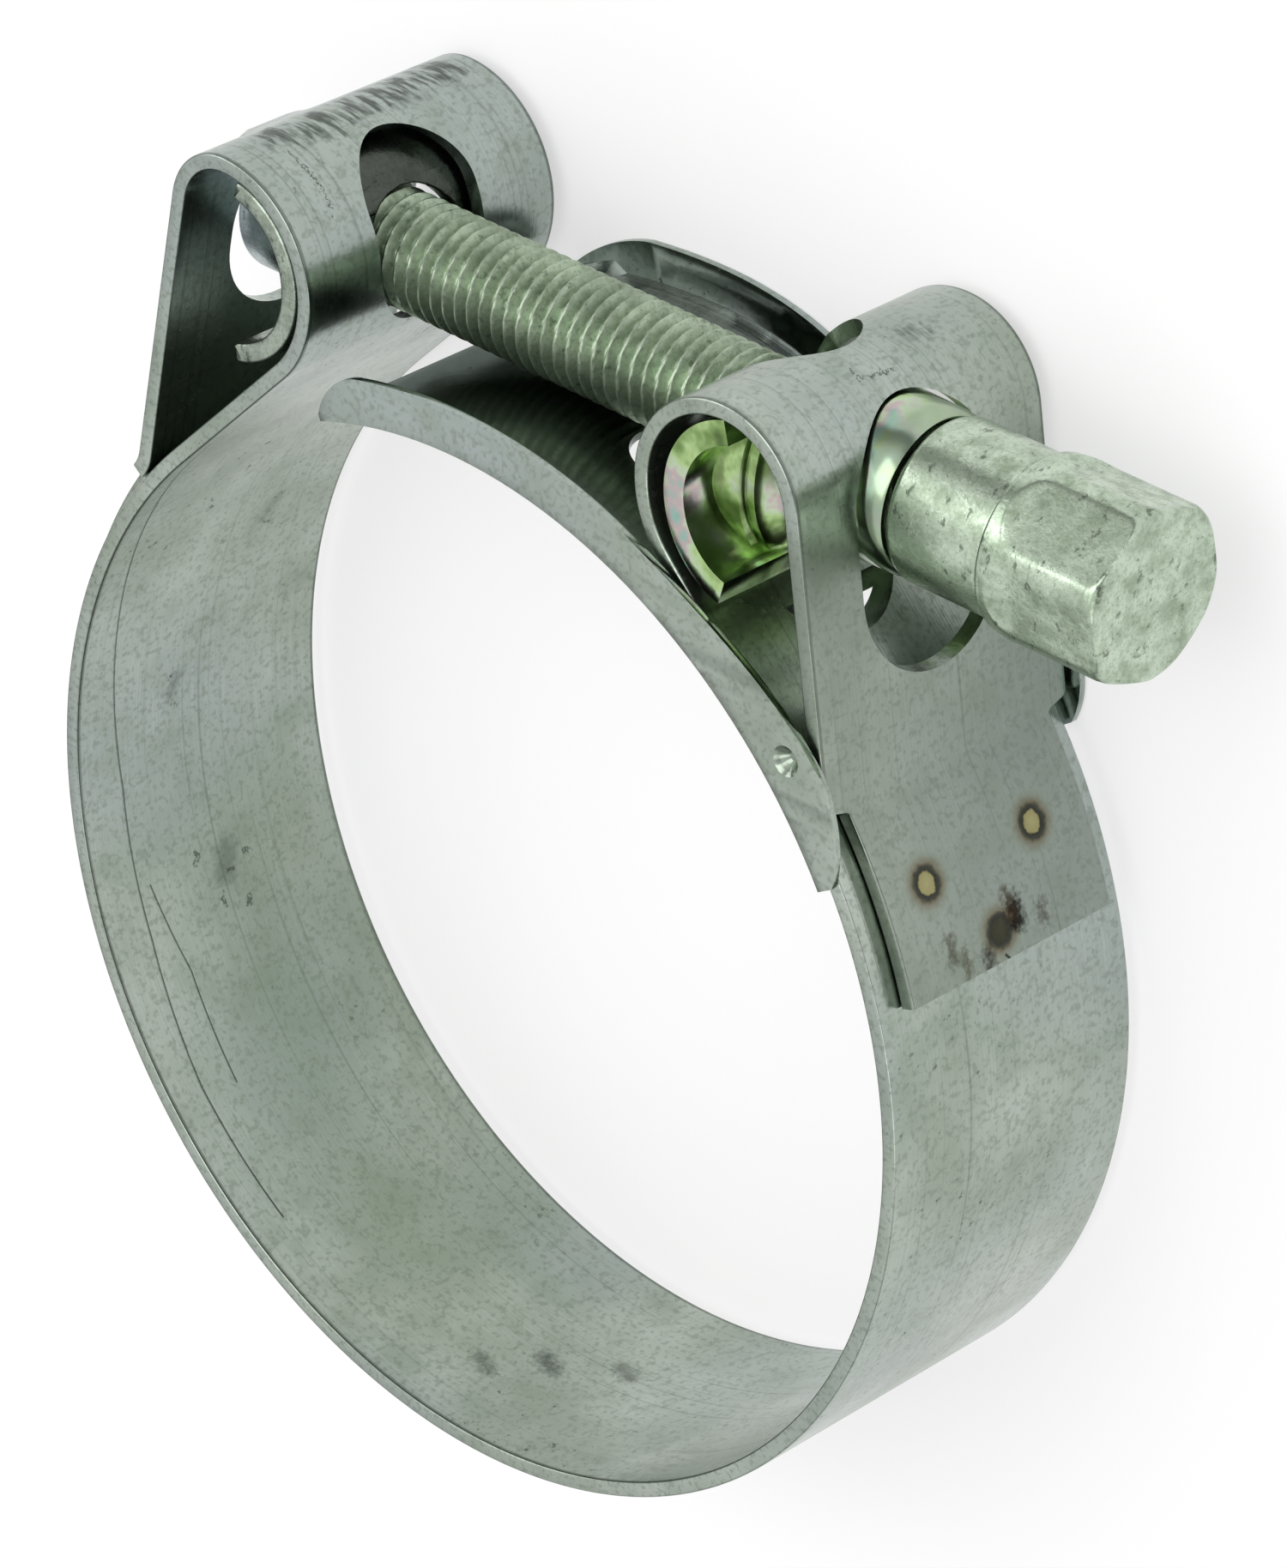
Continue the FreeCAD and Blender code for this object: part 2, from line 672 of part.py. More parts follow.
def build_bridge():
    """A channel lofted round the ring, its flanges outward, beside the edges of the band."""
    body = new_body("bridge")
    wall = size("bridge_wall")
    inside = half_width + size("bridge_side_gap")
    outside = inside + wall
    base = bridge_inner
    fold = size("bridge_lift_fold")
    sections = []
    tip = size("bridge_near_tip_angle")
    free = size("bridge_free_angle")
    count = round(size("bridge_sections"))
    for index in range(count):
        angle = tip + (free - tip) * index / (count - 1)
        rise = bridge_flange(angle)
        lift = bridge_lift(angle)
        section = sketch_facing(body, f"channel_section_{index + 1}", angle - 90.0)
        closed_lines(section, [vec(*corner) for corner in (
            (base, outside),
            (base + rise, outside),
            (base + rise, inside),
            (base + wall, inside),
            (base + wall, fold),
            (base + lift + wall, -inside),
            (base + lift + rise, -inside),
            (base + lift + rise, -outside),
            (base + lift, -outside),
            (base, fold),
        )])
        sections.append(section)
    feature(body, "AdditiveLoft", "channel", sections[0], Sections=sections[1:])
    for section in sections:
        section.Visibility = False
    doc.recompute()

    # The web stops short of the place where the strip leaves the ring
    web_end = size("bridge_web_end_angle")
    beyond = base + wall + size("bridge_web_clear")
    cut = sketch_on(body, "web_end", "XY_Plane")
    corners = [
        polar(base - wall, tip - 5.0),
        polar(base - wall, (tip + web_end) / 2),
        polar(base - wall, web_end),
        polar(beyond, web_end),
        polar(beyond, (tip + web_end) / 2),
        polar(beyond, tip - 5.0),
    ]
    cut.addGeometry(Part.Arc(*corners[:3]), False)
    cut.addGeometry(Part.LineSegment(corners[2], corners[3]), False)
    cut.addGeometry(Part.Arc(*reversed(corners[3:])), False)
    cut.addGeometry(Part.LineSegment(corners[5], corners[0]), False)
    before = body.Shape.Volume
    pocket = feature(body, "Pocket", "web_end_cut", cut, Midplane=True)
    pocket.setExpression("Length", "Sizes.band_width + 2 * Sizes.bridge_side_gap")
    cut_changes(body, pocket.Name, before)

    # Each ear tapers to a blunt tip along a curve, and the free ends slope back from the web
    middle = (inside + outside) / 2
    for side, flip, lift in (("near", 1, 0.0), ("far", -1, bridge_lift(free))):
        tip = size(f"bridge_{side}_tip_angle")
        taper = sketch_on(body, f"{side}_taper", "XY_Plane", level(flip * middle))
        top = polar(base + size("bridge_ear"), size("bridge_ear_angle"))
        end = polar(base + size("bridge_tip_width"), tip)
        bulge = (top + end) / 2 + (top + end).normalize() * size("bridge_taper_bulge")
        foot = polar(base - wall, tip)
        below = polar(base - wall, tip - 10.0)
        corner = vec(2 * top.x, top.y)
        taper.addGeometry(Part.Arc(top, bulge, end), False)
        for start, stop in (
            (end, foot),
            (foot, below),
            (below, vec(corner.x, below.y)),
            (vec(corner.x, below.y), corner),
            (corner, top),
        ):
            taper.addGeometry(Part.LineSegment(start, stop), False)
        before = body.Shape.Volume
        pocket = feature(body, "Pocket", f"{side}_taper_cut", taper, Midplane=True)
        pocket.setExpression("Length", "2 * Sizes.bridge_wall")
        cut_changes(body, pocket.Name, before)

        end_cut = sketch_on(body, f"{side}_end", "XY_Plane", level(flip * middle))
        slope = size(f"bridge_{side}_end_slope")
        foot = polar(base + lift + wall, free)
        high = foot + vec(slope, size("bridge_flange"))
        knee = (foot + high) / 2 + vec(-slope, slope).normalize() * size("bridge_end_round")
        left = foot.x - slope
        end_cut.addGeometry(Part.Arc(foot, knee, high), False)
        for start, stop in (
            (high, vec(high.x, high.y + slope)),
            (vec(high.x, high.y + slope), vec(left, high.y + slope)),
            (vec(left, high.y + slope), vec(left, foot.y)),
            (vec(left, foot.y), foot),
        ):
            end_cut.addGeometry(Part.LineSegment(start, stop), False)
        before = body.Shape.Volume
        pocket = feature(body, "Pocket", f"{side}_end_cut", end_cut, Midplane=True)
        pocket.setExpression("Length", "2 * Sizes.bridge_wall")
        cut_changes(body, pocket.Name, before)

    # Window in the web
    left = size("window_left")
    right = size("window_right")
    half = size("window_width") / 2
    corner = size("window_corner_radius")
    window = sketch_on(body, "window", "XZ_Plane")
    quarter = math.pi / 2
    up = vec(0, 0, 1)
    for centre, start in (
        (vec(right - corner, half - corner), 0),
        (vec(left + corner, half - corner), 1),
        (vec(left + corner, corner - half), 2),
        (vec(right - corner, corner - half), 3),
    ):
        circle = Part.Circle(centre, up, corner)
        window.addGeometry(Part.ArcOfCircle(circle, start * quarter, (start + 1) * quarter), False)
    for index in range(4):
        start = window.Geometry[index].EndPoint
        stop = window.Geometry[(index + 1) % 4].StartPoint
        window.addGeometry(Part.LineSegment(start, stop), False)
    for index in range(4):
        window.addConstraint(Sketcher.Constraint("Tangent", index, 2, index + 4, 1))
        window.addConstraint(Sketcher.Constraint("Tangent", index + 4, 2, (index + 1) % 4, 1))
    bind(window, "Radius", 0, "window_corner_radius", corner)
    before = body.Shape.Volume
    pocket = feature(body, "Pocket", "window_cut", window, Midplane=True)
    pocket.setExpression("Length", "4 * Sizes.ring_inner_radius")
    cut_changes(body, pocket.Name, before)

    # Dimples pressed in through both ears, over the edges of the ring
    place = polar(ring_outer + size("dimple_over_ring"), size("dimple_angle"))
    dome = body.newObject("PartDesign::AdditiveCone", "dimple_dome")
    dome.Placement = FreeCAD.Placement(
        place + vec(0, 0, inside + wall / 2), FreeCAD.Rotation(vec(1, 0, 0), 180))
    dome.setExpression("Radius1", "Sizes.dimple_radius")
    dome.setExpression("Radius2", "Sizes.dimple_top_radius")
    dome.setExpression("Height", "Sizes.dimple_depth + Sizes.bridge_wall / 2")
    pit = body.newObject("PartDesign::SubtractiveCone", "dimple_pit")
    pit.Placement = FreeCAD.Placement(place + vec(0, 0, outside), FreeCAD.Rotation(vec(1, 0, 0), 180))
    pit.setExpression("Radius1", "Sizes.dimple_radius - Sizes.bridge_wall / 4")
    pit.setExpression("Radius2", "Sizes.dimple_top_radius / 2")
    pit.setExpression("Height", "Sizes.dimple_depth")
    doc.recompute()
    both = body.newObject("PartDesign::Mirrored", "both_dimples")
    both.Originals = [dome, pit]
    both.MirrorPlane = (origin_item(body, "XY_Plane"), [""])
    body.Tip = both
    doc.recompute()
    return body


doc.recompute()
bodies = [
    build_band(),
    build_bridge(),
    build_head_trunnion(),
    build_bolt(),
    build_nut_saddle(),
    build_nut(),
]
doc.recompute()

problems = []
for item in doc.Objects:
    if "Invalid" in item.State or "Error" in item.State:
        problems.append(f"{item.Name}: {item.State}")
for body in bodies:
    shape = body.Shape
    print(body.Label, len(shape.Solids), round(shape.Volume, 2), shape.isValid(), shape.BoundBox)
    if shape.isNull() or not shape.isValid():
        problems.append(f"{body.Label}: no valid shape")
if problems:
    raise RuntimeError("; ".join(problems))

os.makedirs("parts", exist_ok=True)
for body in bodies:
    body.Shape.exportStep(f"parts/{body.Label}.step")
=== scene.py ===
import math
import bmesh
import bpy
import numpy as np
from mathutils import Matrix, Vector


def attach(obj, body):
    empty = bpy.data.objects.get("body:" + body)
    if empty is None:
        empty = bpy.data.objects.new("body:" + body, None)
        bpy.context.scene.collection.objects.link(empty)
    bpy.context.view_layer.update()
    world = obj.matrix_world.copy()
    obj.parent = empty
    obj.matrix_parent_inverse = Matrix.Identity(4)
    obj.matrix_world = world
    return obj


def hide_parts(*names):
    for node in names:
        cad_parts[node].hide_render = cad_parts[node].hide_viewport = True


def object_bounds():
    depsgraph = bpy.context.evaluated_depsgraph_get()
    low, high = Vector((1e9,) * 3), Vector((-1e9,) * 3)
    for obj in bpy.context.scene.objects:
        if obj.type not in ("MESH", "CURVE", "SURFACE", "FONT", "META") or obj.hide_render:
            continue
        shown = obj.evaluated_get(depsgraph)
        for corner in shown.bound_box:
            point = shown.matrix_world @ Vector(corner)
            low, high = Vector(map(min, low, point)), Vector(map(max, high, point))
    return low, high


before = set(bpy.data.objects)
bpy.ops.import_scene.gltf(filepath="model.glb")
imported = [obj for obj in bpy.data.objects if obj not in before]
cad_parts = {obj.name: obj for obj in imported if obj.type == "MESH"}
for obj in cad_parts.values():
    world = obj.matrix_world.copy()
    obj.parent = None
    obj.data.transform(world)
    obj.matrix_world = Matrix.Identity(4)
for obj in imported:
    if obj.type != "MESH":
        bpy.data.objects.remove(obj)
cad_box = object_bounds()

# Sizes are in millimetres and degrees; meshes are made in metres
MM = 0.001
PER_METRE = 1000.0

# Strip: its section, the ring, and the angle at which it leaves the ring for a loop
STRIP_WIDTH = 20.0
STRIP_WALL = 1.0
EDGE_ROUND = 0.16
RING_INSIDE = 33.55
RING_RADIUS = RING_INSIDE + STRIP_WALL / 2
LEAVE_ANGLE = 44.5

# Loops: the ramp's length, and the radii of the side, the top and the shoulder above the leg
LOOPS = {
    "right": {"ramp": 12.7, "side": 6.5, "top": 6.1, "shoulder": 5.3},
    "left": {"ramp": 12.6, "side": 7.0, "top": 6.66, "shoulder": 3.9},
}
OUTWARD = {"right": 1.0, "left": -1.0}
LEG_LEAN = 9.8
FOOT_RADIUS = 3.0

# Tabs: on the ring's outside, narrower than the strip, welded at (angle, height) spots. A weld is
# a hollow with a raised rim, and each reach is a length from the tab's end
LAP_GAP = 0.1
TAB_RADIUS = RING_RADIUS + STRIP_WALL + LAP_GAP
TAB_END_ANGLE = 18.0
TAB_SHOULDER_ANGLE = 37.5
SHOULDER_BLEND = 0.5
TAB_WIDTH = 16.6
TAB_REACH = 30.0
WELDS = ((28.4, 4.35), (28.4, -4.35), (21.0, 0.0))
WELD_REACH = 18.0
HOLLOW_DEPTH = 0.14
HOLLOW_SPREAD = 0.55
RIM_HEIGHT = 0.09
RIM_RADIUS = 0.85
RIM_SPREAD = 0.2

# Slots: a leg's as (lower end, upper end, half width), a side's as (angle below level, angle
# above level, half width), and the round over the right crown as (angle above level, radius)
LEG_SLOTS = {"right": (27.1, 42.75, 5.5), "left": (30.7, 42.75, 5.5)}
SIDE_SLOT = (38.0, 72.0, 4.2)
CROWN_ROUND = (48.5, 4.2)
ROUND_SPARE = 0.01

# The left leg slot's bent rim: its place, its spread along the strip, its height, and where it
# rises and falls across the width
LIP_PLACE = (-23.2, 42.8)
LIP_SPREAD = 0.8
LIP_HEIGHT = 0.5
LIP_RISE = (-0.3, 1.2)
LIP_FALL = (5.8, 4.6)

# Bridge: flange ends as (radius of the web's outside, length of the slope)
FLANGE_ENDS = {"near": (33.95, 3.0), "far": (35.95, 6.5)}
FLANGE_FREE_ANGLE = 109.5
FLANGE_RISE = 2.8
FLANGE_WALL = 0.45
BRIDGE_INSIDE = 10.32

# Thread, along X on the bolt's axis: the flats of its crests and roots are a share of the pitch,
# and its end is a cone that starts lower by a drop and rises by a slope
BOLT_HEIGHT = 37.55
PITCH = 1.0
THREAD_RADIUS = 3.45
THREAD_DEPTH = 0.58
THREAD_FLAT = 0.14
THREAD_START = -24.6
END_DROP = 0.9
END_SLOPE = 1.2

# Bolt's turned head: neck, tapered collar and hexagon, whose flats run out in arcs at the collar
NECK_START = 27.0
NECK_RADIUS = 4.95
NECK_ROUND = 0.6
NECK_FACE_RADIUS = 3.0
NECK_RUN = (28.0, 33.8)
COLLAR_START = 34.0
COLLAR_END = 35.4
COLLAR_TAPER = 1.0
COLLAR_RADIUS = 5.35
COLLAR_ROUND = 0.35
COLLAR_FILLET = 0.15
CORNER_RADIUS = 5.5
CORNER_EASE = 0.05
CHAMFER = 0.55
CHAMFER_ANGLES = (88, 2)
FLAT_RADIUS = 5.0
FLAT_START = 36.6
FLAT_ROOT = 3.2
FLAT_SOFTNESS = 130.0
HEAD_END = 42.5
HEAD_TURN = 12.0
CENTRE_RADIUS = 0.02
LEAST_RADIUS = 0.001

# Bevels of the copies of CAD nodes
BEVELS = {"bridge": 0.1, "head_trunnion": 0.15, "nut_saddle": 0.2, "nut": 0.15}
BEVEL_SEGMENTS = 2

# Meshes: lengths of the middle line's steps, counts of rows, and shading and merging limits. The
# merging distances are in metres
RING_STEP = 0.7
STRAIGHT_STEP = 0.5
CURL_STEP = 0.25
BEND_STEP = 0.2
TAB_STEP = 0.3
ACROSS_ROWS = 34
CORNER_ROWS = 5
SLOT_END_ROWS = 33
THREAD_ROWS_PER_MM = 16
THREAD_COLUMNS = 84
THREAD_GAP = 0.02
BEND_ROWS = 9
NECK_ROWS = 30
COLLAR_ROWS = 8
HEXAGON_ROWS = 60
END_ROWS = 12
HEAD_COLUMNS = 216
HEAD_GAP = 0.1
SHARP_ANGLE = 35.0
SOFT_ANGLE = 40.0
BEVEL_ANGLE = 38.0
MERGE = 1e-6
RESHAPED_MERGE = 2e-5

# The strip's other face lies beside the first one in its UVs, by this length
OTHER_FACE = 30.0

# Colours of the bare metals, of what lies on them, and of painted shade and light
STEEL_LIGHT = (0.48, 0.53, 0.475, 1.0)
STEEL_DARK = (0.26, 0.315, 0.25, 1.0)
STEEL_BLUE = (0.36, 0.41, 0.42, 1.0)
RIGHT_LEG_SHADE = (0.16, 0.19, 0.15, 1.0)
THIN_STEEL_LIGHT = (0.42, 0.47, 0.42, 1.0)
BOLT_ZINC = ((0.54, 0.64, 0.51, 1.0), (0.31, 0.39, 0.28, 1.0))
SADDLE_ZINC = ((0.38, 0.44, 0.37, 1.0), (0.22, 0.26, 0.21, 1.0))
NUT_ZINC = ((0.36, 0.42, 0.44, 1.0), (0.22, 0.27, 0.28, 1.0))
THREAD_ZINC = ((0.44, 0.53, 0.40, 1.0), (0.27, 0.34, 0.24, 1.0))
FILM_OLIVE = (0.07, 0.10, 0.03, 1.0)
FILM_PAINTED_LIGHT = (0.34, 0.42, 0.32, 1.0)
SHADE_PAINT = (0.05, 0.06, 0.05, 1.0)
DEEP_SHADOW_TONE = (0.03, 0.035, 0.03, 1.0)
WHITE = (1.0, 1.0, 1.0, 1.0)
FLOOR_WHITE = (0.92, 0.92, 0.92, 1.0)

# The passivation's colours, as (noise value, colour)
FILM_COLOURS = (
    (0.30, (0.06, 0.10, 0.03, 1.0)), (0.40, (0.22, 0.34, 0.12, 1.0)),
    (0.47, (0.42, 0.58, 0.26, 1.0)), (0.53, (0.50, 0.60, 0.44, 1.0)),
    (0.57, (0.52, 0.42, 0.42, 1.0)), (0.62, (0.28, 0.48, 0.42, 1.0)),
    (0.70, (0.36, 0.50, 0.18, 1.0)),
)

# Marks are at (angle, height) places around the middle of the ring or of a loop. Their kinds are
# (softness of the edge, colour, added roughness); each spot of soot has a colour of its own
MARK_KINDS = {
    # The first kind below is a painted dark reflection, with a little added roughness
    "dark_reflection": (7.0, (0.17, 0.23, 0.15, 1.0), 0.05),
    "scuff": (0.45, (0.04, 0.05, 0.04, 1.0), 0.1),
    "pit": (0.12, (0.03, 0.035, 0.03, 1.0), 0.1),
    "scratch": (0.05, (0.02, 0.03, 0.02, 1.0), None),
    "dirt": (0.5, (0.02, 0.025, 0.02, 1.0), 0.15),
    "line": (0.05, (0.02, 0.02, 0.02, 1.0), None),
    "soot": (0.35, None, 0.2),
    "slit": (0.05, (0.01, 0.01, 0.01, 1.0), None),
}

# How far the edges of marks are stirred, as (millimetres each way, scale of the noise), and the
# brush strokes in the dirt, as the noise's scale and the values between which they darken
RAGGED_STIR = (1.4, 1.1)
TORN_STIR = (0.7, 3.0)
WORN_STIR = (0.16, 2.5)
BRUSH_SCALE = (420.0, 1900.0, 1.0)
BRUSH_SPAN = (0.42, 0.56)

# Inside the ring: the painted dark reflection, which also adds roughness, scratches as (places, half
# width, strength), scuffs as (angle, height, half width, strength) and pits, with half a scuff's run
# and a pit's whole one
RING_DARK_REFLECTION = ((-158.0, -2.0), (-112.0, 1.0))
DARK_REFLECTION_HALF = 6.0
DARK_REFLECTION_STRENGTH = 0.5
SCRATCHES = (
    (((131.7, 9.1), (166.0, 7.4), (186.5, 6.5), (204.0, 6.7), (220.5, 7.4), (237.0, 7.3)), 0.05, 0.6),
    (((199.0, 5.7), (209.0, 4.6), (222.0, 4.85)), 0.04, 0.55),
)
SCRATCH_DEPTH = -1.5
SCUFFS = (
    (269.0, 1.2, 0.5, 0.7), (264.0, 4.2, 0.35, 0.6), (276.0, -1.4, 0.4, 0.6),
    (158.0, -4.0, 0.4, 0.35), (178.0, 2.0, 0.25, 0.45), (200.0, -0.5, 0.8, 0.35),
)
SCUFF_RUN = (1.2, 0.3)
PITS = (
    (198.0, 1.6), (201.0, -0.8), (203.5, 0.4), (199.5, -2.4),
    (205.0, -1.6), (176.0, 2.3), (180.0, 1.7),
)
PIT_RUN = (0.5, 0.2)
PIT_HALF = 0.1
PIT_STRENGTH = 0.8

# On the loops: dirt as (loop, places, half width, strength), fine dark lines as (loop, places),
# and the place where the right leg's painted shade and added roughness start, with the length they take
LOOP_DIRT = (
    ("left", ((88.0, 5.6), (90.0, -7.5)), 1.4, 0.75),
    ("right", ((82.0, -3.3), (80.0, -5.0)), 0.5, 0.5),
)
LOOP_LINES = (
    ("left", ((78.0, 6.5), (58.0, 6.45), (38.0, 6.5))),
    ("left", ((65.0, 5.2), (63.0, 5.1))),
    ("right", ((69.6, 1.7), (68.0, 0.4), (65.9, -0.7))),
    ("right", ((74.5, 1.6), (73.5, 1.4))),
)
LINE_HALF = 0.05
LINE_STRENGTH = 0.85
LEG_SHADE_AND_DULL_PLACE = (20.0, 0.0)
LEG_SHADE_AND_DULL_LENGTH = 3.0
LEG_SHADE_STRENGTH = 0.5
LEG_DULL_ROUGHNESS = 0.05

# The strip's corners, as distances from the middle of its width where the painted shadow line comes and
# goes
CORNER_COMES = (9.66, 9.78)
CORNER_GOES = (10.0, 9.9)
CORNER_STRENGTH = 0.6

# On the right tab: weld heat as (angle, height, brightness of the button), its tint as (share of
# its size, colour), soot as (angle, height, half width, colour, strength), and the slit in it
TAB_HEAT = ((28.1, 4.9, 1.0), (28.4, -4.0, 1.0), (20.8, 0.6, 0.1))
HEAT_SIZE = 2.1
HEAT_STRENGTH = 0.92
BUTTON_SHARE = 0.3
HEAT_TINT = (
    (0.0, (0.36, 0.34, 0.16)), (0.29, (0.30, 0.27, 0.12)), (0.35, (0.02, 0.02, 0.015)),
    (0.45, (0.04, 0.04, 0.03)), (0.55, (0.16, 0.14, 0.09)), (0.75, (0.22, 0.24, 0.19)),
    (1.0, (0.30, 0.34, 0.28)),
)
TAB_SOOT = (
    (21.6, -0.9, 0.55, (0.012, 0.01, 0.008, 1.0), 0.95),
    (22.9, -0.5, 0.3, (0.05, 0.03, 0.015, 1.0), 0.8),
    (21.2, 4.5, 0.3, (0.06, 0.05, 0.03, 1.0), 0.7),
    (18.6, 1.9, 0.3, (0.03, 0.025, 0.02, 1.0), 0.85),
    (19.4, 3.6, 0.2, (0.08, 0.07, 0.04, 1.0), 0.7),
    (20.6, -2.9, 0.2, (0.06, 0.05, 0.03, 1.0), 0.7),
)
SOOT_RUN = 0.9
TAB_SLIT = ((18.7, 0.55), (18.0, 0.3))
SLIT_HALF = 0.08
SLIT_STRENGTH = 0.9

# Studio: the sky's greys as (height from 0 below to 1 above, grey), lights as (place in metres,
# watts, width, height), and the floor, in metres, with the share of white seen directly
SKY_GREYS = ((0.0, 0.8), (0.47, 0.6), (0.54, 0.22), (0.64, 0.4), (0.74, 0.95), (1.0, 1.0))
LIGHTS = {
    "key": ((0.1, 0.35, 0.6), 1.6, 0.6, 0.5),
    "side": ((0.6, -0.2, 0.3), 0.6, 0.3, 0.5),
    "back": ((-0.55, 0.3, 0.4), 0.9, 0.4, 0.5),
}
FLOOR_HALF = 6.0
FLOOR_ROUGHNESS = 0.9
FLOOR_GLOW = 0.55


def smoothstep(low, high, value):
    """From 0 at low to 1 at high: three times the share squared, less twice its cube."""
    share = np.clip((value - low) / (high - low), 0.0, 1.0)
    return share * share * (3.0 - 2.0 * share)


def heading(degrees):
    """The unit vector in XY at an angle from X: its cosine and its sine."""
    return np.array([math.cos(math.radians(degrees)), math.sin(math.radians(degrees))])


def shade_curves(mesh, angle):
    """Smooth shading, with sharp edges past an angle in degrees."""
    mesh.shade_smooth()
    mesh.set_sharp_from_angle(angle=math.radians(angle))


def merge_doubles(mesh, distance):
    """Joins vertices that lie within a distance in metres."""
    work = bmesh.new()
    work.from_mesh(mesh)
    bmesh.ops.remove_doubles(work, verts=work.verts, dist=distance)
    work.to_mesh(mesh)
    work.free()


def face_outward(mesh):
    """Turns the faces of a closed mesh outward."""
    work = bmesh.new()
    work.from_mesh(mesh)
    bmesh.ops.recalc_face_normals(work, faces=work.faces)
    work.to_mesh(mesh)
    work.free()


def grid_piece(name, grid, uv=None):
    """A mesh over a grid of points in millimetres: rows along the piece, and columns that close
    around it, with one flat face at each end. uv has one column more than the grid."""
    rows, columns = grid.shape[:2]
    index = np.arange(rows * columns).reshape(rows, columns)
    index = np.concatenate([index, index[:, :1]], axis=1)
    corners = (index[:-1, :-1], index[1:, :-1], index[1:, 1:], index[:-1, 1:])
    faces = np.stack([corner.ravel() for corner in corners], axis=1).tolist()
    faces.append(index[0, :-1].tolist())
    faces.append(index[-1, :-1][::-1].tolist())
    mesh = bpy.data.meshes.new(name)
    mesh.from_pydata((grid.reshape(-1, 3) * MM).tolist(), [], faces)
    if uv is not None:
        layer = mesh.uv_layers.new(name="strip")
        cells = (uv[:-1, :-1], uv[1:, :-1], uv[1:, 1:], uv[:-1, 1:])
        loops = np.stack([cell.reshape(-1, 2) for cell in cells], axis=1).reshape(-1, 2)
        flat = np.zeros((len(mesh.loops), 2))
        flat[:len(loops)] = loops
        layer.data.foreach_set("uv", flat.ravel())
    piece = bpy.data.objects.new(name, mesh)
    bpy.context.collection.objects.link(piece)
    face_outward(mesh)
    shade_curves(mesh, SHARP_ANGLE)
    return piece


def apply_modifiers(piece):
    """Puts the piece's modifiers into its mesh."""
    graph = bpy.context.evaluated_depsgraph_get()
    made = bpy.data.meshes.new_from_object(
        piece.evaluated_get(graph), preserve_all_data_layers=True, depsgraph=graph)
    piece.modifiers.clear()
    piece.data = made


def slot_cutter(name, low, high, half, depth, origin, along, out):
    """A prism with round ends: from low to high on the along axis, half wide each side in Z,
    reaching depth from the origin on the out axis."""
    turn = np.linspace(-math.pi / 2, math.pi / 2, SLOT_END_ROWS)
    right = np.stack([high - half + half * np.cos(turn), half * np.sin(turn)], axis=1)
    left = np.stack([low + half - half * np.cos(turn), -half * np.sin(turn)], axis=1)
    outline = np.concatenate([right, left])
    rows = []
    for reach in (0.0, depth):
        row = origin + np.outer(outline[:, 0], along) + reach * out
        row[:, 2] += outline[:, 1]
        rows.append(row)
    return grid_piece(name, np.array(rows))


def curl_cutter(name, side, middle, facing, reach, half):
    """A slot cutter from a loop's middle through its wall, facing an angle in XY, that reaches
    the same way to each side of it."""
    out = np.append(heading(facing), 0.0)
    along = np.append(heading(facing + 90.0), 0.0)
    depth = 2 * LOOPS[side]["top"]
    return slot_cutter(name, -reach, reach, half, depth, middle, along, out)


def loop_cutters(side, middle):
    """The cutters of a leg's slot and of the side slot, which faces the middle of its two angles.
    Half its length is the side's radius times the sine of half the angle between its ends."""
    outward = OUTWARD[side]
    low, high, half = LEG_SLOTS[side]
    foot = np.array([middle[0], 0.0, 0.0])
    up = np.array([0.0, 1.0, 0.0])
    out = np.array([outward, 0.0, 0.0])
    leg = slot_cutter(f"{side}_leg_slot", low, high, half, STRIP_WIDTH, foot, up, out)
    below, above, half = SIDE_SLOT
    tilt = (above - below) / 2
    facing = 180.0 - tilt if outward > 0 else tilt
    reach = LOOPS[side]["side"] * math.sin(math.radians((above + below) / 2))
    return [leg, curl_cutter(f"{side}_side_slot", side, middle, facing, reach, half)]


def cut_slots(piece, cutters):
    """Cuts each cutter out of the piece and removes it."""
    for cutter in cutters:
        modifier = piece.modifiers.new("slot", "BOOLEAN")
        modifier.operation = "DIFFERENCE"
        modifier.solver = "EXACT"
        modifier.object = cutter
    apply_modifiers(piece)
    for cutter in cutters:
        bpy.data.objects.remove(cutter)
    shade_curves(piece.data, SHARP_ANGLE)


class Line:
    """A chain of tangent lines and arcs in XY, sampled as points with their headings."""

    def __init__(self, point, turn):
        self.point = np.array(point, float)
        self.turn = turn
        self.points = [self.point[None]]
        self.turns = [np.array([turn])]

    def straight(self, length, step):
        """Points at even shares of a length along the heading."""
        share = np.linspace(0, 1, max(2, math.ceil(length / step)) + 1)[1:, None]
        self.points.append(self.point + share * length * heading(self.turn))
        self.turns.append(np.full(len(share), self.turn))
        self.point = self.points[-1][-1]

    def arc(self, radius, sweep, step):
        """Points at radius from the arc's centre, which lies square to the heading."""
        side = math.copysign(90.0, sweep)
        centre = self.point + radius * heading(self.turn + side)
        length = radius * math.radians(abs(sweep))
        share = np.linspace(0, 1, max(2, math.ceil(length / step)) + 1)[1:]
        angle = np.radians(self.turn - side + sweep * share)
        self.points.append(centre + radius * np.stack([np.cos(angle), np.sin(angle)], axis=1))
        self.turns.append(self.turn + sweep * share)
        self.point = self.points[-1][-1]
        self.turn += sweep


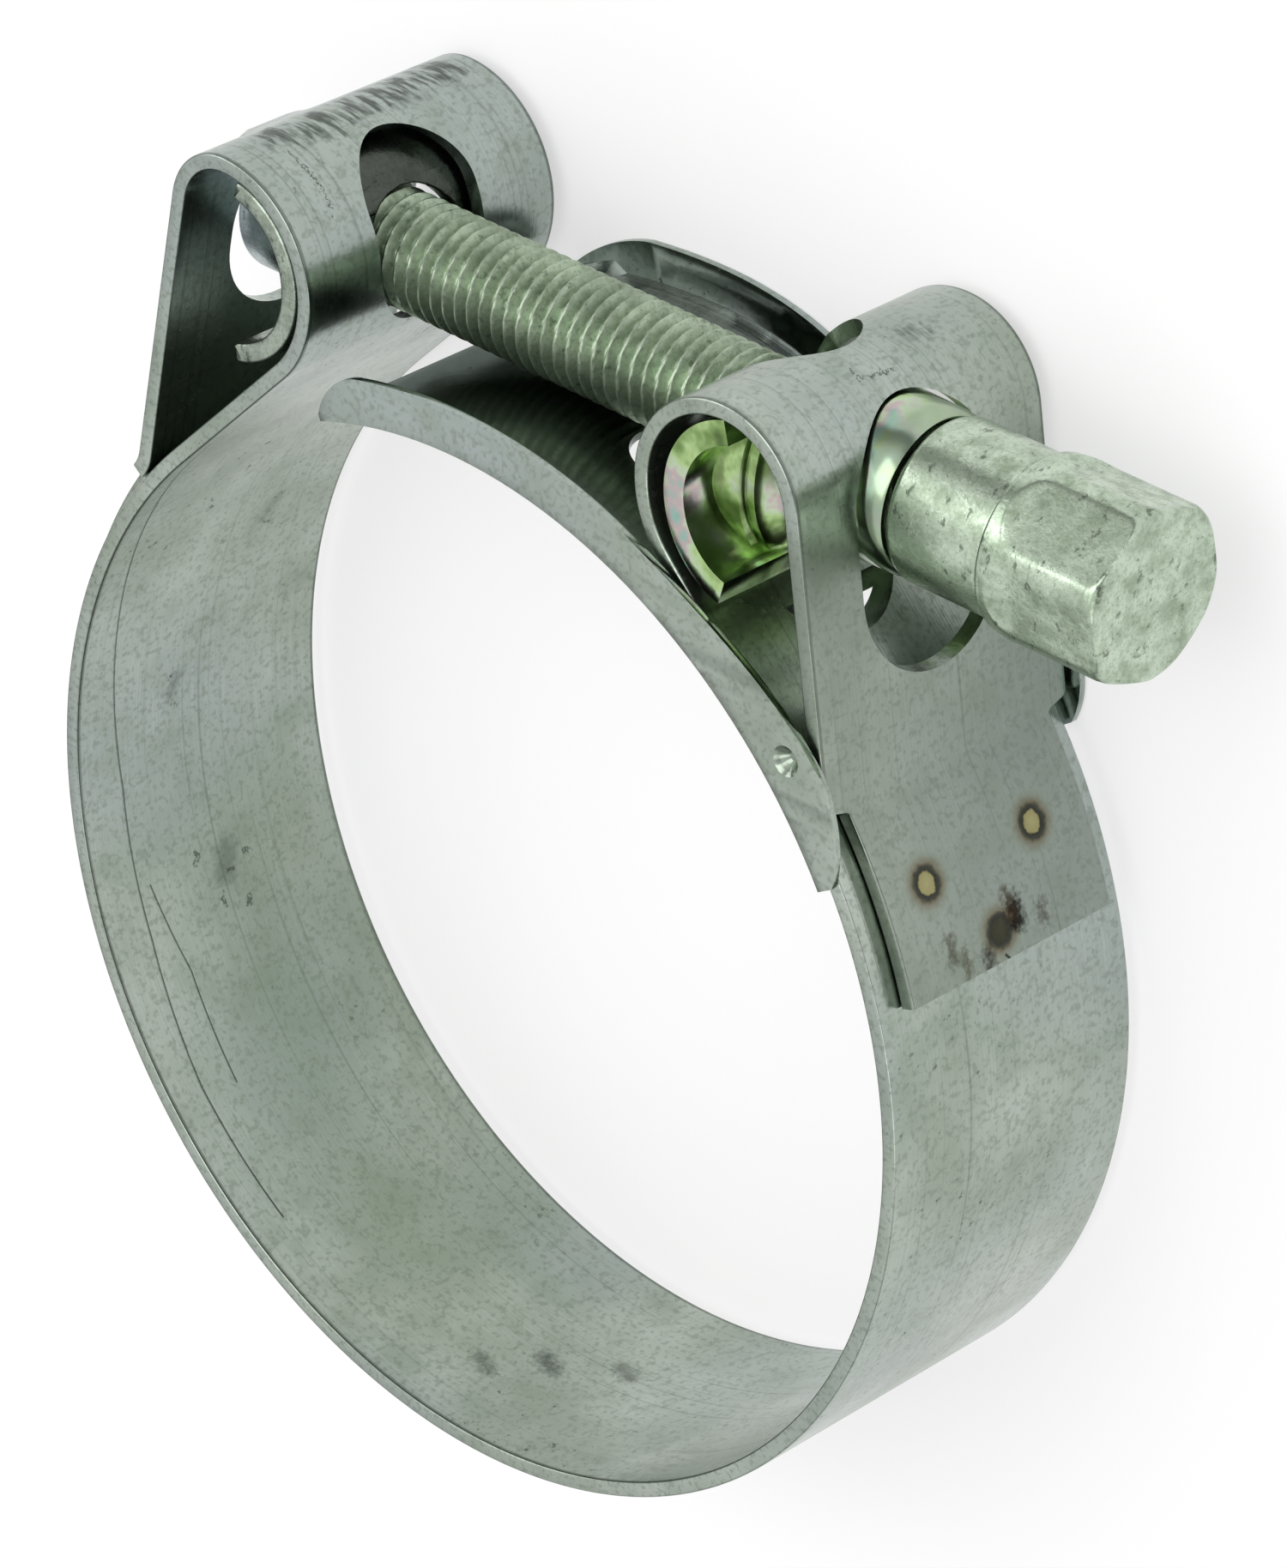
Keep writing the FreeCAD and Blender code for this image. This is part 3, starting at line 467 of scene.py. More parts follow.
def loop_line(side):
    """One half of the strip's middle line, drawn as the right-hand half, with its loop's middle.
    The leg runs on until a foot's arc from it touches the tab's circle. That arc's centre then
    lies at the two radii together from the ring's, which gives the leg's length as the nearer
    root of a quadratic."""
    loop = LOOPS[side]
    line = Line((0.0, -RING_RADIUS), 0.0)
    line.arc(RING_RADIUS, 90.0 + LEAVE_ANGLE, RING_STEP)
    line.straight(loop["ramp"], STRAIGHT_STEP)
    line.arc(loop["side"], -LEAVE_ANGLE, CURL_STEP)
    curl = line.point + np.array([loop["top"], 0.0])
    line.arc(loop["top"], -90.0, CURL_STEP)
    line.arc(loop["shoulder"], LEG_LEAN - 90.0, BEND_STEP)
    along = heading(line.turn)
    centre = line.point + FOOT_RADIUS * heading(line.turn + 90.0)
    reach = TAB_RADIUS + FOOT_RADIUS
    drop = -centre @ along - math.sqrt((centre @ along) ** 2 - centre @ centre + reach ** 2)
    landing = centre + along * drop
    touch = math.degrees(math.atan2(landing[1], landing[0]))
    line.straight(drop, STRAIGHT_STEP)
    line.arc(FOOT_RADIUS, touch - 90.0 - line.turn, BEND_STEP)
    line.arc(TAB_RADIUS, TAB_END_ANGLE - touch, TAB_STEP)
    return np.concatenate(line.points), np.concatenate(line.turns), curl


def strip_line():
    """The whole middle line from the left tab's end to the right one's: points, headings,
    lengths along it, and the middle of each loop. The left half is mirrored and turned about."""
    right, right_turn, right_curl = loop_line("right")
    left, left_turn, left_curl = loop_line("left")
    line = np.concatenate([(left * [-1.0, 1.0])[::-1], right[1:]])
    turns = np.concatenate([-left_turn[::-1], right_turn[1:]])
    step = np.linalg.norm(np.diff(line, axis=0), axis=1)
    length = np.concatenate([[0.0], np.cumsum(step)])
    return line, turns, length, {"right": right_curl, "left": left_curl * [-1.0, 1.0]}


def on_strip(centre, radius, marks):
    """Marks as (angle around a centre, height), turned into the strip's own places: the length
    at the nearest point of its middle line, and the height."""
    line, _, length, _ = strip_line()
    places = []
    for angle, height in marks:
        near = np.linalg.norm(line - (np.array(centre) + radius * heading(angle)), axis=1)
        places.append((float(length[np.argmin(near)]), height))
    return places


def strip_section(half_width):
    """A rounded rectangle as (offset through the wall, place across the width), one loop: a
    quarter circle at each corner, and rows across the two flat faces."""
    offset = STRIP_WALL / 2 - EDGE_ROUND
    width = half_width - EDGE_ROUND
    quarter = np.linspace(0, math.pi / 2, CORNER_ROWS)
    across = np.linspace(1, -1, ACROSS_ROWS)[1:-1] * width

    def corner(number, out, side):
        angle = quarter + number * math.pi / 2
        x = out * offset + EDGE_ROUND * np.cos(angle)
        return np.stack([x, side * width + EDGE_ROUND * np.sin(angle)], axis=1)

    def face(out, places):
        return np.stack([np.full(len(places), out * STRIP_WALL / 2), places], axis=1)

    return np.concatenate([
        corner(0, 1, 1), corner(1, -1, 1), face(-1, across),
        corner(2, -1, -1), corner(3, 1, -1), face(1, -across),
    ])


def make_band():
    """The strip's section carried along its middle line, from the left tab round to the right
    one. Its width falls to the tabs' at their shoulders. A weld adds its rim's height times a
    bell of the distance past the rim's radius, less its depth times a bell of the distance. The
    left leg slot's rim is bent outwards by a bell along the strip, held to part of its width."""
    line, turns, length, curls = strip_line()
    normal = np.stack([-np.sin(np.radians(turns)), np.cos(np.radians(turns))], axis=1)
    around = np.degrees(np.arctan2(line[:, 1], np.abs(line[:, 0])))
    from_end = np.minimum(length, length[-1] - length)
    tab = (np.hypot(line[:, 0], line[:, 1]) > RING_RADIUS + STRIP_WALL / 2) & (from_end < TAB_REACH)
    start = TAB_SHOULDER_ANGLE + SHOULDER_BLEND
    narrowing = np.where(tab, smoothstep(start, start - 2 * SHOULDER_BLEND, around), 0.0)[:, None]
    narrow = strip_section(TAB_WIDTH / 2)
    wide = strip_section(STRIP_WIDTH / 2)
    across = narrow[:, 1] * narrowing + wide[:, 1] * (1 - narrowing)
    through = np.broadcast_to(narrow[:, 0], across.shape).copy()
    # The wall's positive side is the outer one on the tabs, because the heading turns back there
    upper = narrow[:, 0] > 0
    welded = (from_end < WELD_REACH)[:, None] & upper
    for angle, height in WELDS:
        arc = np.radians(around - angle)[:, None] * TAB_RADIUS
        distance = np.hypot(arc, across - height)
        hollow = HOLLOW_DEPTH * np.exp(-(distance / HOLLOW_SPREAD) ** 2)
        rim = RIM_HEIGHT * np.exp(-((distance - RIM_RADIUS) / RIM_SPREAD) ** 2)
        through += np.where(welded, rim - hollow, 0.0)
    lip_at = length[np.argmin(np.linalg.norm(line - LIP_PLACE, axis=1))]
    lip = np.exp(-((length - lip_at) / LIP_SPREAD) ** 2)[:, None]
    lip = lip * smoothstep(*LIP_RISE, across) * smoothstep(*LIP_FALL, across)
    through += LIP_HEIGHT * lip
    grid = np.zeros((*across.shape, 3))
    grid[:, :, :2] = line[:, None] + through[:, :, None] * normal[:, None]
    grid[:, :, 2] = across
    # UVs are metres along the strip and across it
    face = np.where(upper, 0.0, OTHER_FACE * MM)
    uv = np.zeros((len(line), len(narrow) + 1, 2))
    uv[:, :, 0] = (length * MM)[:, None]
    uv[:, :, 1] = np.concatenate([across, across[:, :1]], axis=1) * MM + np.append(face, face[0])
    band = grid_piece("band_strip", grid, uv)
    middles = {side: np.append(curl, 0.0) for side, curl in curls.items()}
    cutters = loop_cutters("right", middles["right"]) + loop_cutters("left", middles["left"])
    # The right loop's side slot ends over the crown, in a round square to the strip there. It is
    # a hair longer than wide, so that no two of its points meet
    angle, radius = CROWN_ROUND
    reach = radius + ROUND_SPARE
    cutters.append(curl_cutter("crown_slot", "right", middles["right"], 180.0 - angle, reach, radius))
    cut_slots(band, cutters)
    return band


def around_bolt(x, radius, angle):
    """Points at a radius and an angle around the bolt's axis."""
    x, radius, angle = np.broadcast_arrays(x, radius, angle)
    return np.stack([x, BOLT_HEIGHT + radius * np.cos(angle), radius * np.sin(angle)], axis=2)


def make_thread():
    """Radius at x and angle: the crest's less the depth times a flat-topped triangle of the
    phase x / pitch less angle / full turn, cut to a cone at the end."""
    rows = round((NECK_START - THREAD_START) * THREAD_ROWS_PER_MM)
    x = np.linspace(THREAD_START, NECK_START - THREAD_GAP, rows)
    angle = np.linspace(0, 2 * math.pi, THREAD_COLUMNS, endpoint=False)
    station, turn = np.meshgrid(x, angle, indexing="ij")
    phase = (station / PITCH - turn / (2 * math.pi)) % 1.0
    crest = np.abs(phase - 0.5) * 2
    flank = np.clip((1 - THREAD_FLAT - crest) / (1 - 2 * THREAD_FLAT), 0.0, 1.0)
    cone = THREAD_RADIUS - END_DROP + (station - THREAD_START) * END_SLOPE
    radius = np.minimum(THREAD_RADIUS - THREAD_DEPTH * flank, cone)
    return grid_piece("bolt_thread", around_bolt(station, radius, turn))


def make_bolt_head():
    """A turned outline of (x, radius) whose radius is held under the flats: their distance over
    the cosine of the angle from the nearest flat. The two blend softly where they meet: the sum
    of each to the power of less the softness, to the power of less one over it."""
    def bend(x, radius, size, start, stop):
        angle = np.radians(np.linspace(start, stop, BEND_ROWS))
        return np.stack([x + size * np.cos(angle), radius + size * np.sin(angle)], axis=1)

    def run(x, stop_x, radius, stop_radius, rows):
        return np.stack([np.linspace(x, stop_x, rows), np.linspace(radius, stop_radius, rows)], axis=1)

    fillet = COLLAR_START - COLLAR_FILLET
    corner = CORNER_RADIUS - CHAMFER
    shoulder = HEAD_END - CHAMFER
    outline = np.concatenate([
        run(NECK_START, NECK_START, 0.0, NECK_FACE_RADIUS, 2),
        bend(NECK_START + NECK_ROUND, NECK_RADIUS - NECK_ROUND, NECK_ROUND, 180, 90),
        run(*NECK_RUN, NECK_RADIUS, NECK_RADIUS, NECK_ROWS),
        bend(fillet, NECK_RADIUS + COLLAR_FILLET, COLLAR_FILLET, -90, 0),
        bend(COLLAR_START + COLLAR_ROUND, COLLAR_RADIUS - COLLAR_ROUND, COLLAR_ROUND, 180, 90),
        run(COLLAR_END - COLLAR_TAPER, COLLAR_END, COLLAR_RADIUS, CORNER_RADIUS, COLLAR_ROWS),
        run(COLLAR_END + HEAD_GAP, shoulder - HEAD_GAP, CORNER_RADIUS, CORNER_RADIUS, HEXAGON_ROWS),
        bend(shoulder, corner - CORNER_EASE, CHAMFER, *CHAMFER_ANGLES),
        run(HEAD_END, HEAD_END, corner - HEAD_GAP, CENTRE_RADIUS, END_ROWS),
    ])
    x = outline[:, :1]
    circle = outline[:, 1:]
    angle = np.linspace(0, 2 * math.pi, HEAD_COLUMNS, endpoint=False)[None]
    sixth = math.pi / 3
    from_flat = (angle - math.radians(HEAD_TURN + 30.0) + sixth / 2) % sixth - sixth / 2
    before = np.clip(FLAT_START - x, 0.0, FLAT_ROOT)
    flat = FLAT_RADIUS + FLAT_ROOT - np.sqrt(FLAT_ROOT ** 2 - before ** 2)
    flat = flat / np.cos(from_flat)
    blend = np.maximum(circle, LEAST_RADIUS) ** -FLAT_SOFTNESS + flat ** -FLAT_SOFTNESS
    return grid_piece("bolt_head", around_bolt(x, blend ** (-1 / FLAT_SOFTNESS), angle))


def slope_flange_ends(mesh):
    """Lifts the sloping edge at each flange's free end so that it runs from the web to the
    flange's top: by the height it lacks there, times the share of the way along the slope."""
    side_slack = 0.05
    web_slack = 0.03
    end_slack = 0.02
    points = np.empty(len(mesh.vertices) * 3)
    mesh.vertices.foreach_get("co", points)
    points = points.reshape(-1, 3) / MM
    x, y, z = points.T
    for side, (web, slope) in FLANGE_ENDS.items():
        foot = web * heading(FLANGE_FREE_ANGLE)
        high = foot + [slope, FLANGE_RISE]
        lack = math.sqrt((web + FLANGE_RISE - FLANGE_WALL) ** 2 - high[0] ** 2) - high[1]
        share = np.clip((x - foot[0]) / slope, 0.0, 1.0)
        flange = (z if side == "near" else -z) > BRIDGE_INSIDE - side_slack
        edge = flange & (x < high[0] + end_slack) & (np.hypot(x, y) > web + web_slack)
        y += np.where(edge & (y < high[1] + end_slack), lack * share, 0.0)
    mesh.vertices.foreach_set("co", (points * MM).ravel())


def softened_copy(node, name, reshape=None):
    """A merged copy of a CAD node with its sharp edges bevelled and its curves shaded smooth."""
    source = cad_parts[node]
    piece = bpy.data.objects.new(name, source.data.copy())
    bpy.context.collection.objects.link(piece)
    piece.data.transform(source.matrix_world)
    merge_doubles(piece.data, MERGE)
    if reshape is not None:
        reshape(piece.data)
        merge_doubles(piece.data, RESHAPED_MERGE)
    edge = piece.modifiers.new("edge", "BEVEL")
    edge.width = BEVELS[node] * MM
    edge.segments = BEVEL_SEGMENTS
    edge.limit_method = "ANGLE"
    edge.angle_limit = math.radians(BEVEL_ANGLE)
    apply_modifiers(piece)
    shade_curves(piece.data, SOFT_ANGLE)
    return piece


class Nodes:
    """Short calls for the nodes of one tree. A value is a number, a colour or a socket."""

    def __init__(self, tree):
        self.tree = tree

    def add(self, kind, inputs=None, **settings):
        """A node with its settings, then its inputs by name or number."""
        node = self.tree.nodes.new(kind)
        for key, value in settings.items():
            setattr(node, key, value)
        for key, value in (inputs or {}).items():
            self.feed(node.inputs[key], value)
        return node

    def feed(self, socket, value):
        """Links a socket to another one, or sets its number or colour."""
        if isinstance(value, bpy.types.NodeSocket):
            self.tree.links.new(value, socket)
        else:
            socket.default_value = value

    def ramp(self, value, low, high, bottom=0.0, top=1.0):
        """A value from low to high, spread from bottom to top and held there."""
        return self.add("ShaderNodeMapRange", {
            "Value": value, "From Min": low, "From Max": high,
            "To Min": bottom, "To Max": top}).outputs["Result"]

    def maths(self, operation, first, second=0.0):
        """The result of one operation on one or two numbers."""
        return self.add("ShaderNodeMath", {0: first, 1: second}, operation=operation).outputs[0]

    def vector(self, operation, first, second):
        """The vector that one operation makes of two."""
        return self.add("ShaderNodeVectorMath", {0: first, 1: second}, operation=operation).outputs[0]

    def split(self, vector):
        """A vector's X, Y and Z."""
        return self.add("ShaderNodeSeparateXYZ", {0: vector}).outputs

    def mix(self, share, first, second):
        """From the first colour to the second by a share. A Mix node's colours are its inputs 6
        and 7, and its output 2."""
        node = self.add("ShaderNodeMix", {0: share, 6: first, 7: second}, data_type="RGBA")
        return node.outputs[2]

    def stops(self, value, stops):
        """The colour of a value between stops of (value, colour)."""
        node = self.add("ShaderNodeValToRGB", {"Fac": value})
        elements = node.color_ramp.elements
        while len(elements) < len(stops):
            elements.new(0.5)
        for element, (place, colour) in zip(elements, stops):
            element.position = place
            element.color = colour
        return node.outputs["Color"]


class Finish(Nodes):
    """A material's nodes. Scales of noises are per metre."""

    def __init__(self, name):
        self.material = bpy.data.materials.new(name)
        self.material.use_nodes = True
        self.shader = self.material.node_tree.nodes["Principled BSDF"]
        super().__init__(self.material.node_tree)

    def place(self, scale, turn=(0, 0, 0), uv=False):
        """The piece's own place, or its UVs, turned and scaled by axis."""
        source = self.add("ShaderNodeTexCoord").outputs["UV" if uv else "Object"]
        mapping = self.add("ShaderNodeMapping", {"Vector": source, "Scale": scale, "Rotation": turn})
        return mapping.outputs["Vector"]

    def noise(self, scale, detail, rough=0.55, turn=(0, 0, 0), uv=False):
        """A noise from about 0.25 to 0.75, at one scale or at one for each axis."""
        scale = scale if isinstance(scale, tuple) else (scale, scale, scale)
        return self.add("ShaderNodeTexNoise", {
            "Vector": self.place(scale, turn, uv), "Scale": 1.0,
            "Detail": detail, "Roughness": rough}).outputs["Fac"]

    def from_middle(self, axis):
        """The distance from the frame's middle on one axis, in millimetres."""
        places = self.split(self.place((PER_METRE, PER_METRE, PER_METRE)))
        return self.maths("ABSOLUTE", places[axis])

    def coat(self, base, layers):
        """Lays colours over a base, one after another. A layer is (value, low, high, strength,
        colour): its share is the value's ramp from 0 at low to its strength at high."""
        for value, low, high, strength, colour in layers:
            base = self.mix(self.ramp(value, low, high, 0.0, strength), base, colour)
        return base

    def strip_field(self, stir=0.0, scale=1.0):
        """The strip's own coordinates in millimetres, moved about by a noise up to stir each way
        so that what is laid by them has ragged edges."""
        flat = self.place((PER_METRE, PER_METRE, 1.0), uv=True)
        if stir == 0.0:
            return flat
        noise = self.add("ShaderNodeTexNoise", {"Vector": flat, "Scale": scale, "Detail": 2.0})
        shift = self.vector("SUBTRACT", noise.outputs["Color"], (0.5, 0.5, 0.5))
        shift = self.vector("MULTIPLY", shift, (2 * stir, 2 * stir, 0.0))
        return self.vector("ADD", flat, shift)

    def distance(self, field, place):
        """The distance from a place, in the field's millimetres."""
        node = self.add("ShaderNodeVectorMath", {0: field, 1: (*place, 0.0)}, operation="DISTANCE")
        return node.outputs["Value"]

    def stroke(self, field, places, half, soft):
        """1 on a broken line and 0 off it. The distance to a run is that to its nearest point,
        which lies at the share dot(away, run) / dot(run, run) of it, held from 0 to 1."""
        nearest = None
        for start, end in zip(places[:-1], places[1:]):
            run = (end[0] - start[0], end[1] - start[1], 0.0)
            squared = run[0] ** 2 + run[1] ** 2
            away = self.vector("SUBTRACT", field, (*start, 0.0))
            dot = self.add("ShaderNodeVectorMath", {0: away, 1: run}, operation="DOT_PRODUCT")
            share = self.add(
                "ShaderNodeMath", {0: dot.outputs["Value"], 1: squared},
                operation="DIVIDE", use_clamp=True)
            along = self.add("ShaderNodeVectorMath", {0: run, 3: share.outputs[0]}, operation="SCALE")
            gap = self.add("ShaderNodeVectorMath", {0: away, 1: along.outputs[0]}, operation="DISTANCE")
            gap = gap.outputs["Value"]
            nearest = gap if nearest is None else self.maths("MINIMUM", nearest, gap)
        return self.ramp(nearest, half + soft, max(half - soft, 0.0))

    def metal(self, colour, rough, height, depth, strength):
        """Metal with a colour, a roughness, and a bump of a height times a depth in millimetres."""
        bump = self.add("ShaderNodeBump", {
            "Height": height, "Distance": depth * MM, "Strength": strength})
        self.shader.inputs["Metallic"].default_value = 1.0
        self.feed(self.shader.inputs["Base Color"], colour)
        self.feed(self.shader.inputs["Roughness"], rough)
        self.feed(self.shader.inputs["Normal"], bump.outputs["Normal"])
        return self.material


def shade(colour, share):
    """A colour made darker, to a share of itself."""
    return (colour[0] * share, colour[1] * share, colour[2] * share, 1.0)


def rolled_steel(name, light, dark, uv, marks=None, rough_low=0.18):
    """Rolled strip: grain and streaks drawn out along it, cloudy handling marks, a bluer tint,
    stains, a fine speckle, and pits where it is cloudy. Marks, where given, adds what this strip
    alone shows to its colour, roughness and height."""
    finish = Finish(name)
    grain_scale = (60.0, 9000.0, 1.0) if uv else (60.0, 700.0, 7000.0)
    streak_scale = (14.0, 2600.0, 1.0) if uv else (20.0, 500.0, 2600.0)
    grain = finish.noise(grain_scale, detail=2.0, uv=uv)
    streaks = finish.noise(streak_scale, detail=1.0, uv=uv)
    clouds = finish.noise(95.0, detail=3.0, rough=0.6)
    stains = finish.noise(310.0, detail=2.0, rough=0.6)
    speckle = finish.noise(2300.0, detail=1.0, rough=0.7)
    tint = finish.noise(45.0, detail=1.0, turn=(0.3, 0.9, 0.1))
    pits = finish.noise(1500.0, detail=2.0, rough=0.7)
    pit = finish.maths("MULTIPLY", finish.ramp(pits, 0.65, 0.71), finish.ramp(clouds, 0.5, 0.62))
    soot = shade(dark, 0.3)
    base = finish.coat(light, (
        (clouds, 0.36, 0.68, 0.7, dark),
        (tint, 0.4, 0.62, 0.6, STEEL_BLUE),
        (stains, 0.52, 0.7, 0.4, dark),
        (grain, 0.35, 0.75, 0.4, dark),
        (speckle, 0.5, 0.68, 0.5, shade(dark, 0.75)),
        (pit, 0.0, 1.0, 0.6, soot),
        (streaks, 0.62, 0.72, 0.3, soot),
    ))
    rough = finish.ramp(clouds, 0.3, 0.7, rough_low, rough_low + 0.12)
    rough = finish.maths("ADD", rough, finish.maths("MULTIPLY", pit, 0.25))
    height = finish.maths("MULTIPLY", finish.maths("ADD", grain, speckle), 0.3)
    if marks is not None:
        base, rough, height = marks(finish, base, rough, height)
    return finish.metal(base, rough, height, depth=0.03, strength=0.5)


def painted_channel_shade(finish, base, rough, height):
    """Painted shade and dark reflection: the bottom of the bridge's channel is painted darker between
    its flanges.
    """
    across = finish.from_middle("Z")
    base = finish.coat(base, [(across, BRIDGE_INSIDE - 0.1, BRIDGE_INSIDE - 0.9, 0.72, SHADE_PAINT)])
    return base, rough, height


def strip_marks(finish, base, rough, height):
    """What the long strip has picked up: scratches and scuffs inside the ring, dirt brushed over the
    loops, and the welds on the right tab with their heat tint and soot. It also gets painted shade
    along its edges and on the right leg, and a painted dark reflection inside the ring, with some added
    roughness."""
    _, _, _, curls = strip_line()
    ring = ((0.0, 0.0), RING_RADIUS)
    tab = ((0.0, 0.0), TAB_RADIUS)
    loops = {side: (curl, LOOPS[side]["top"]) for side, curl in curls.items()}
    field = finish.strip_field()
    ragged = finish.strip_field(*RAGGED_STIR)
    torn = finish.strip_field(*TORN_STIR)
    worn = finish.strip_field(*WORN_STIR)

    def lay(mask, colour, strength, roughness=None):
        nonlocal base, rough
        share = finish.maths("MULTIPLY", mask, strength)
        base = finish.mix(share, base, colour)
        if roughness is not None:
            rough = finish.maths("ADD", rough, finish.maths("MULTIPLY", share, roughness))

    def draw(kind, on, circle, marks, half, strength, colour=None, brush=None):
        soft, usual, roughness = MARK_KINDS[kind]
        mask = finish.stroke(on, on_strip(*circle, marks), half, soft)
        if brush is not None:
            mask = finish.maths("MULTIPLY", mask, brush)
        lay(mask, colour or usual, strength, roughness)
        return mask

    # The sheared edges' corners show as a thin dark line: a painted shadow line
    places = finish.split(field)
    across = finish.maths("ABSOLUTE", places["Y"])
    corner = finish.maths(
        "MULTIPLY", finish.ramp(across, *CORNER_COMES), finish.ramp(across, *CORNER_GOES))
    lay(corner, SHADE_PAINT, CORNER_STRENGTH)

    # Painted shade: the right leg and its tab are painted darker than the ring below them, and are also
    # rougher
    shoulder = on_strip(*loops["right"], [LEG_SHADE_AND_DULL_PLACE])[0][0]
    leg = finish.ramp(places["X"], shoulder, shoulder + LEG_SHADE_AND_DULL_LENGTH)
    lay(leg, RIGHT_LEG_SHADE, LEG_SHADE_STRENGTH, LEG_DULL_ROUGHNESS)

    # The ring's lower left has a painted dark, greener reflection and is a little rougher, and its
    # bottom is scuffed
    draw("dark_reflection", ragged, ring, RING_DARK_REFLECTION, DARK_REFLECTION_HALF, DARK_REFLECTION_STRENGTH)
    for angle, z, half, strength in SCUFFS:
        run, rise = SCUFF_RUN
        draw("scuff", torn, ring, [(angle - run, z - rise), (angle + run, z + rise)], half, strength)
    for angle, z in PITS:
        run, rise = PIT_RUN
        draw("pit", torn, ring, [(angle, z), (angle + run, z + rise)], PIT_HALF, PIT_STRENGTH)
    for marks, half, strength in SCRATCHES:
        mask = draw("scratch", field, ring, marks, half, strength)
        height = finish.maths("ADD", height, finish.maths("MULTIPLY", mask, SCRATCH_DEPTH))

    # Dirt brushed across the loops, and fine lines
    brush = finish.ramp(finish.noise(BRUSH_SCALE, detail=2.0, uv=True), *BRUSH_SPAN)
    for side, marks, half, strength in LOOP_DIRT:
        draw("dirt", ragged, loops[side], marks, half, strength, brush=brush)
    for side, marks in LOOP_LINES:
        draw("line", torn, loops[side], marks, LINE_HALF, LINE_STRENGTH)

    # Welds: a pale yellow button in a black ring, brown and blue outside it. A dark weld's
    # button is shaded
    for angle, z, brightness in TAB_HEAT:
        distance = finish.distance(worn, on_strip(*tab, [(angle, z)])[0])
        tint = [
            (at, shade(colour, 1.0 if at > BUTTON_SHARE else brightness))
            for at, colour in HEAT_TINT]
        heat = finish.stops(finish.ramp(distance, 0.0, HEAT_SIZE), tint)
        base = finish.coat(base, [(distance, HEAT_SIZE, HEAT_SIZE / 2, HEAT_STRENGTH, heat)])
    for angle, z, half, colour, strength in TAB_SOOT:
        draw("soot", torn, tab, [(angle - SOOT_RUN, z), (angle + SOOT_RUN, z)], half, strength, colour)
    draw("slit", field, tab, TAB_SLIT, SLIT_HALF, SLIT_STRENGTH)
    return base, rough, height


def zinc(name, colours, rough_low=0.2, worn_share=0.7, painted_shade=None):
    """Zinc plating: mottled light and dark blotches with dull, darker stains. The last argument is an
    axis
    and two distances in millimetres: painted shade darkens what is nearer the middle than the second
    one."""
    finish = Finish(name)
    light, dark = colours
    blotch = finish.noise(620.0, detail=4.0, rough=0.7)
    stain = finish.noise((1500.0, 900.0, 900.0), detail=3.0, rough=0.7)
    tide = finish.noise(190.0, detail=2.0)
    speckle = finish.noise(3600.0, detail=2.0, rough=0.7)
    base = finish.coat(light, (
        (blotch, 0.42, 0.66, 1.0, dark),
        (tide, 0.5, 0.62, 0.35, shade(dark, 0.8)),
        (speckle, 0.5, 0.66, 0.45, shade(dark, 0.7)),
        (stain, 0.6, 0.68, worn_share, shade(dark, 0.2)),
    ))
    if painted_shade is not None:
        # Painted shade: darker towards the middle on one axis
        axis, clear, covered = painted_shade
        base = finish.coat(base, [(finish.from_middle(axis), clear, covered, 0.85, DEEP_SHADOW_TONE)])
    rough = finish.ramp(blotch, 0.3, 0.7, rough_low, rough_low + 0.16)
    height = finish.maths("ADD", blotch, finish.maths("MULTIPLY", speckle, 0.4))
    return finish.metal(base, rough, height, depth=0.05, strength=0.6)


def passivated(name):
    """Yellow-green passivation that runs to pink and cyan in bands, as thin films do, with dark
    olive where it is thick. Outside the loop it is painted paler: painted light where the loop no
    longer shades it."""
    finish = Finish(name)
    film = finish.noise(190.0, detail=4.0, rough=0.6)
    thick = finish.noise(260.0, detail=3.0, turn=(0.4, 1.1, 0.2))
    places = finish.split(finish.place((PER_METRE, PER_METRE, PER_METRE)))
    base = finish.coat(finish.stops(film, FILM_COLOURS), (
        (thick, 0.5, 0.66, 0.6, FILM_OLIVE),
        # Painted light: paler where the trunnion stands out of the loop
        (places["X"], 24.0, 25.6, 0.8, FILM_PAINTED_LIGHT),
    ))
    rough = finish.ramp(thick, 0.3, 0.7, 0.14, 0.26)
    return finish.metal(base, rough, film, depth=0.1, strength=0.5)


def dress(piece, body, material, *nodes):
    """Gives a piece its material and its body, and hides the CAD nodes that it stands for."""
    piece.data.materials.clear()
    piece.data.materials.append(material)
    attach(piece, body)
    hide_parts(*nodes)


def set_camera():
    """The photograph's view, as a place in millimetres and the picture's right, up and back. The
    lens is the focal length in pixels over the picture's height, times the sensor's height."""
    place = (270.55, 236.52, 279.71)
    right = (0.71601, 0.02191, -0.69774)
    up = (-0.36714, 0.86193, -0.34969)
    back = (0.59374, 0.50656, 0.6252)
    focal_pixels = 8917.84
    image_height = 1828
    data = bpy.data.cameras.new("camera")
    data.sensor_fit = "VERTICAL"
    data.sensor_height = 24.0
    data.lens = focal_pixels / image_height * data.sensor_height
    camera = bpy.data.objects.new("camera", data)
    turn = Matrix((right, up, back)).transposed().to_4x4()
    turn.translation = [value * MM for value in place]
    camera.matrix_world = turn
    bpy.context.collection.objects.link(camera)
    bpy.context.scene.camera = camera


def area_light(name, place, energy, width, height):
    """A rectangular light that faces the clamp's middle."""
    data = bpy.data.lights.new(name, "AREA")
    data.shape = "RECTANGLE"
    data.size = width
    data.size_y = height
    data.energy = energy
    light = bpy.data.objects.new(name, data)
    light.rotation_euler = Vector(place).to_track_quat("Z", "Y").to_euler()
    light.location = place
    bpy.context.collection.objects.link(light)


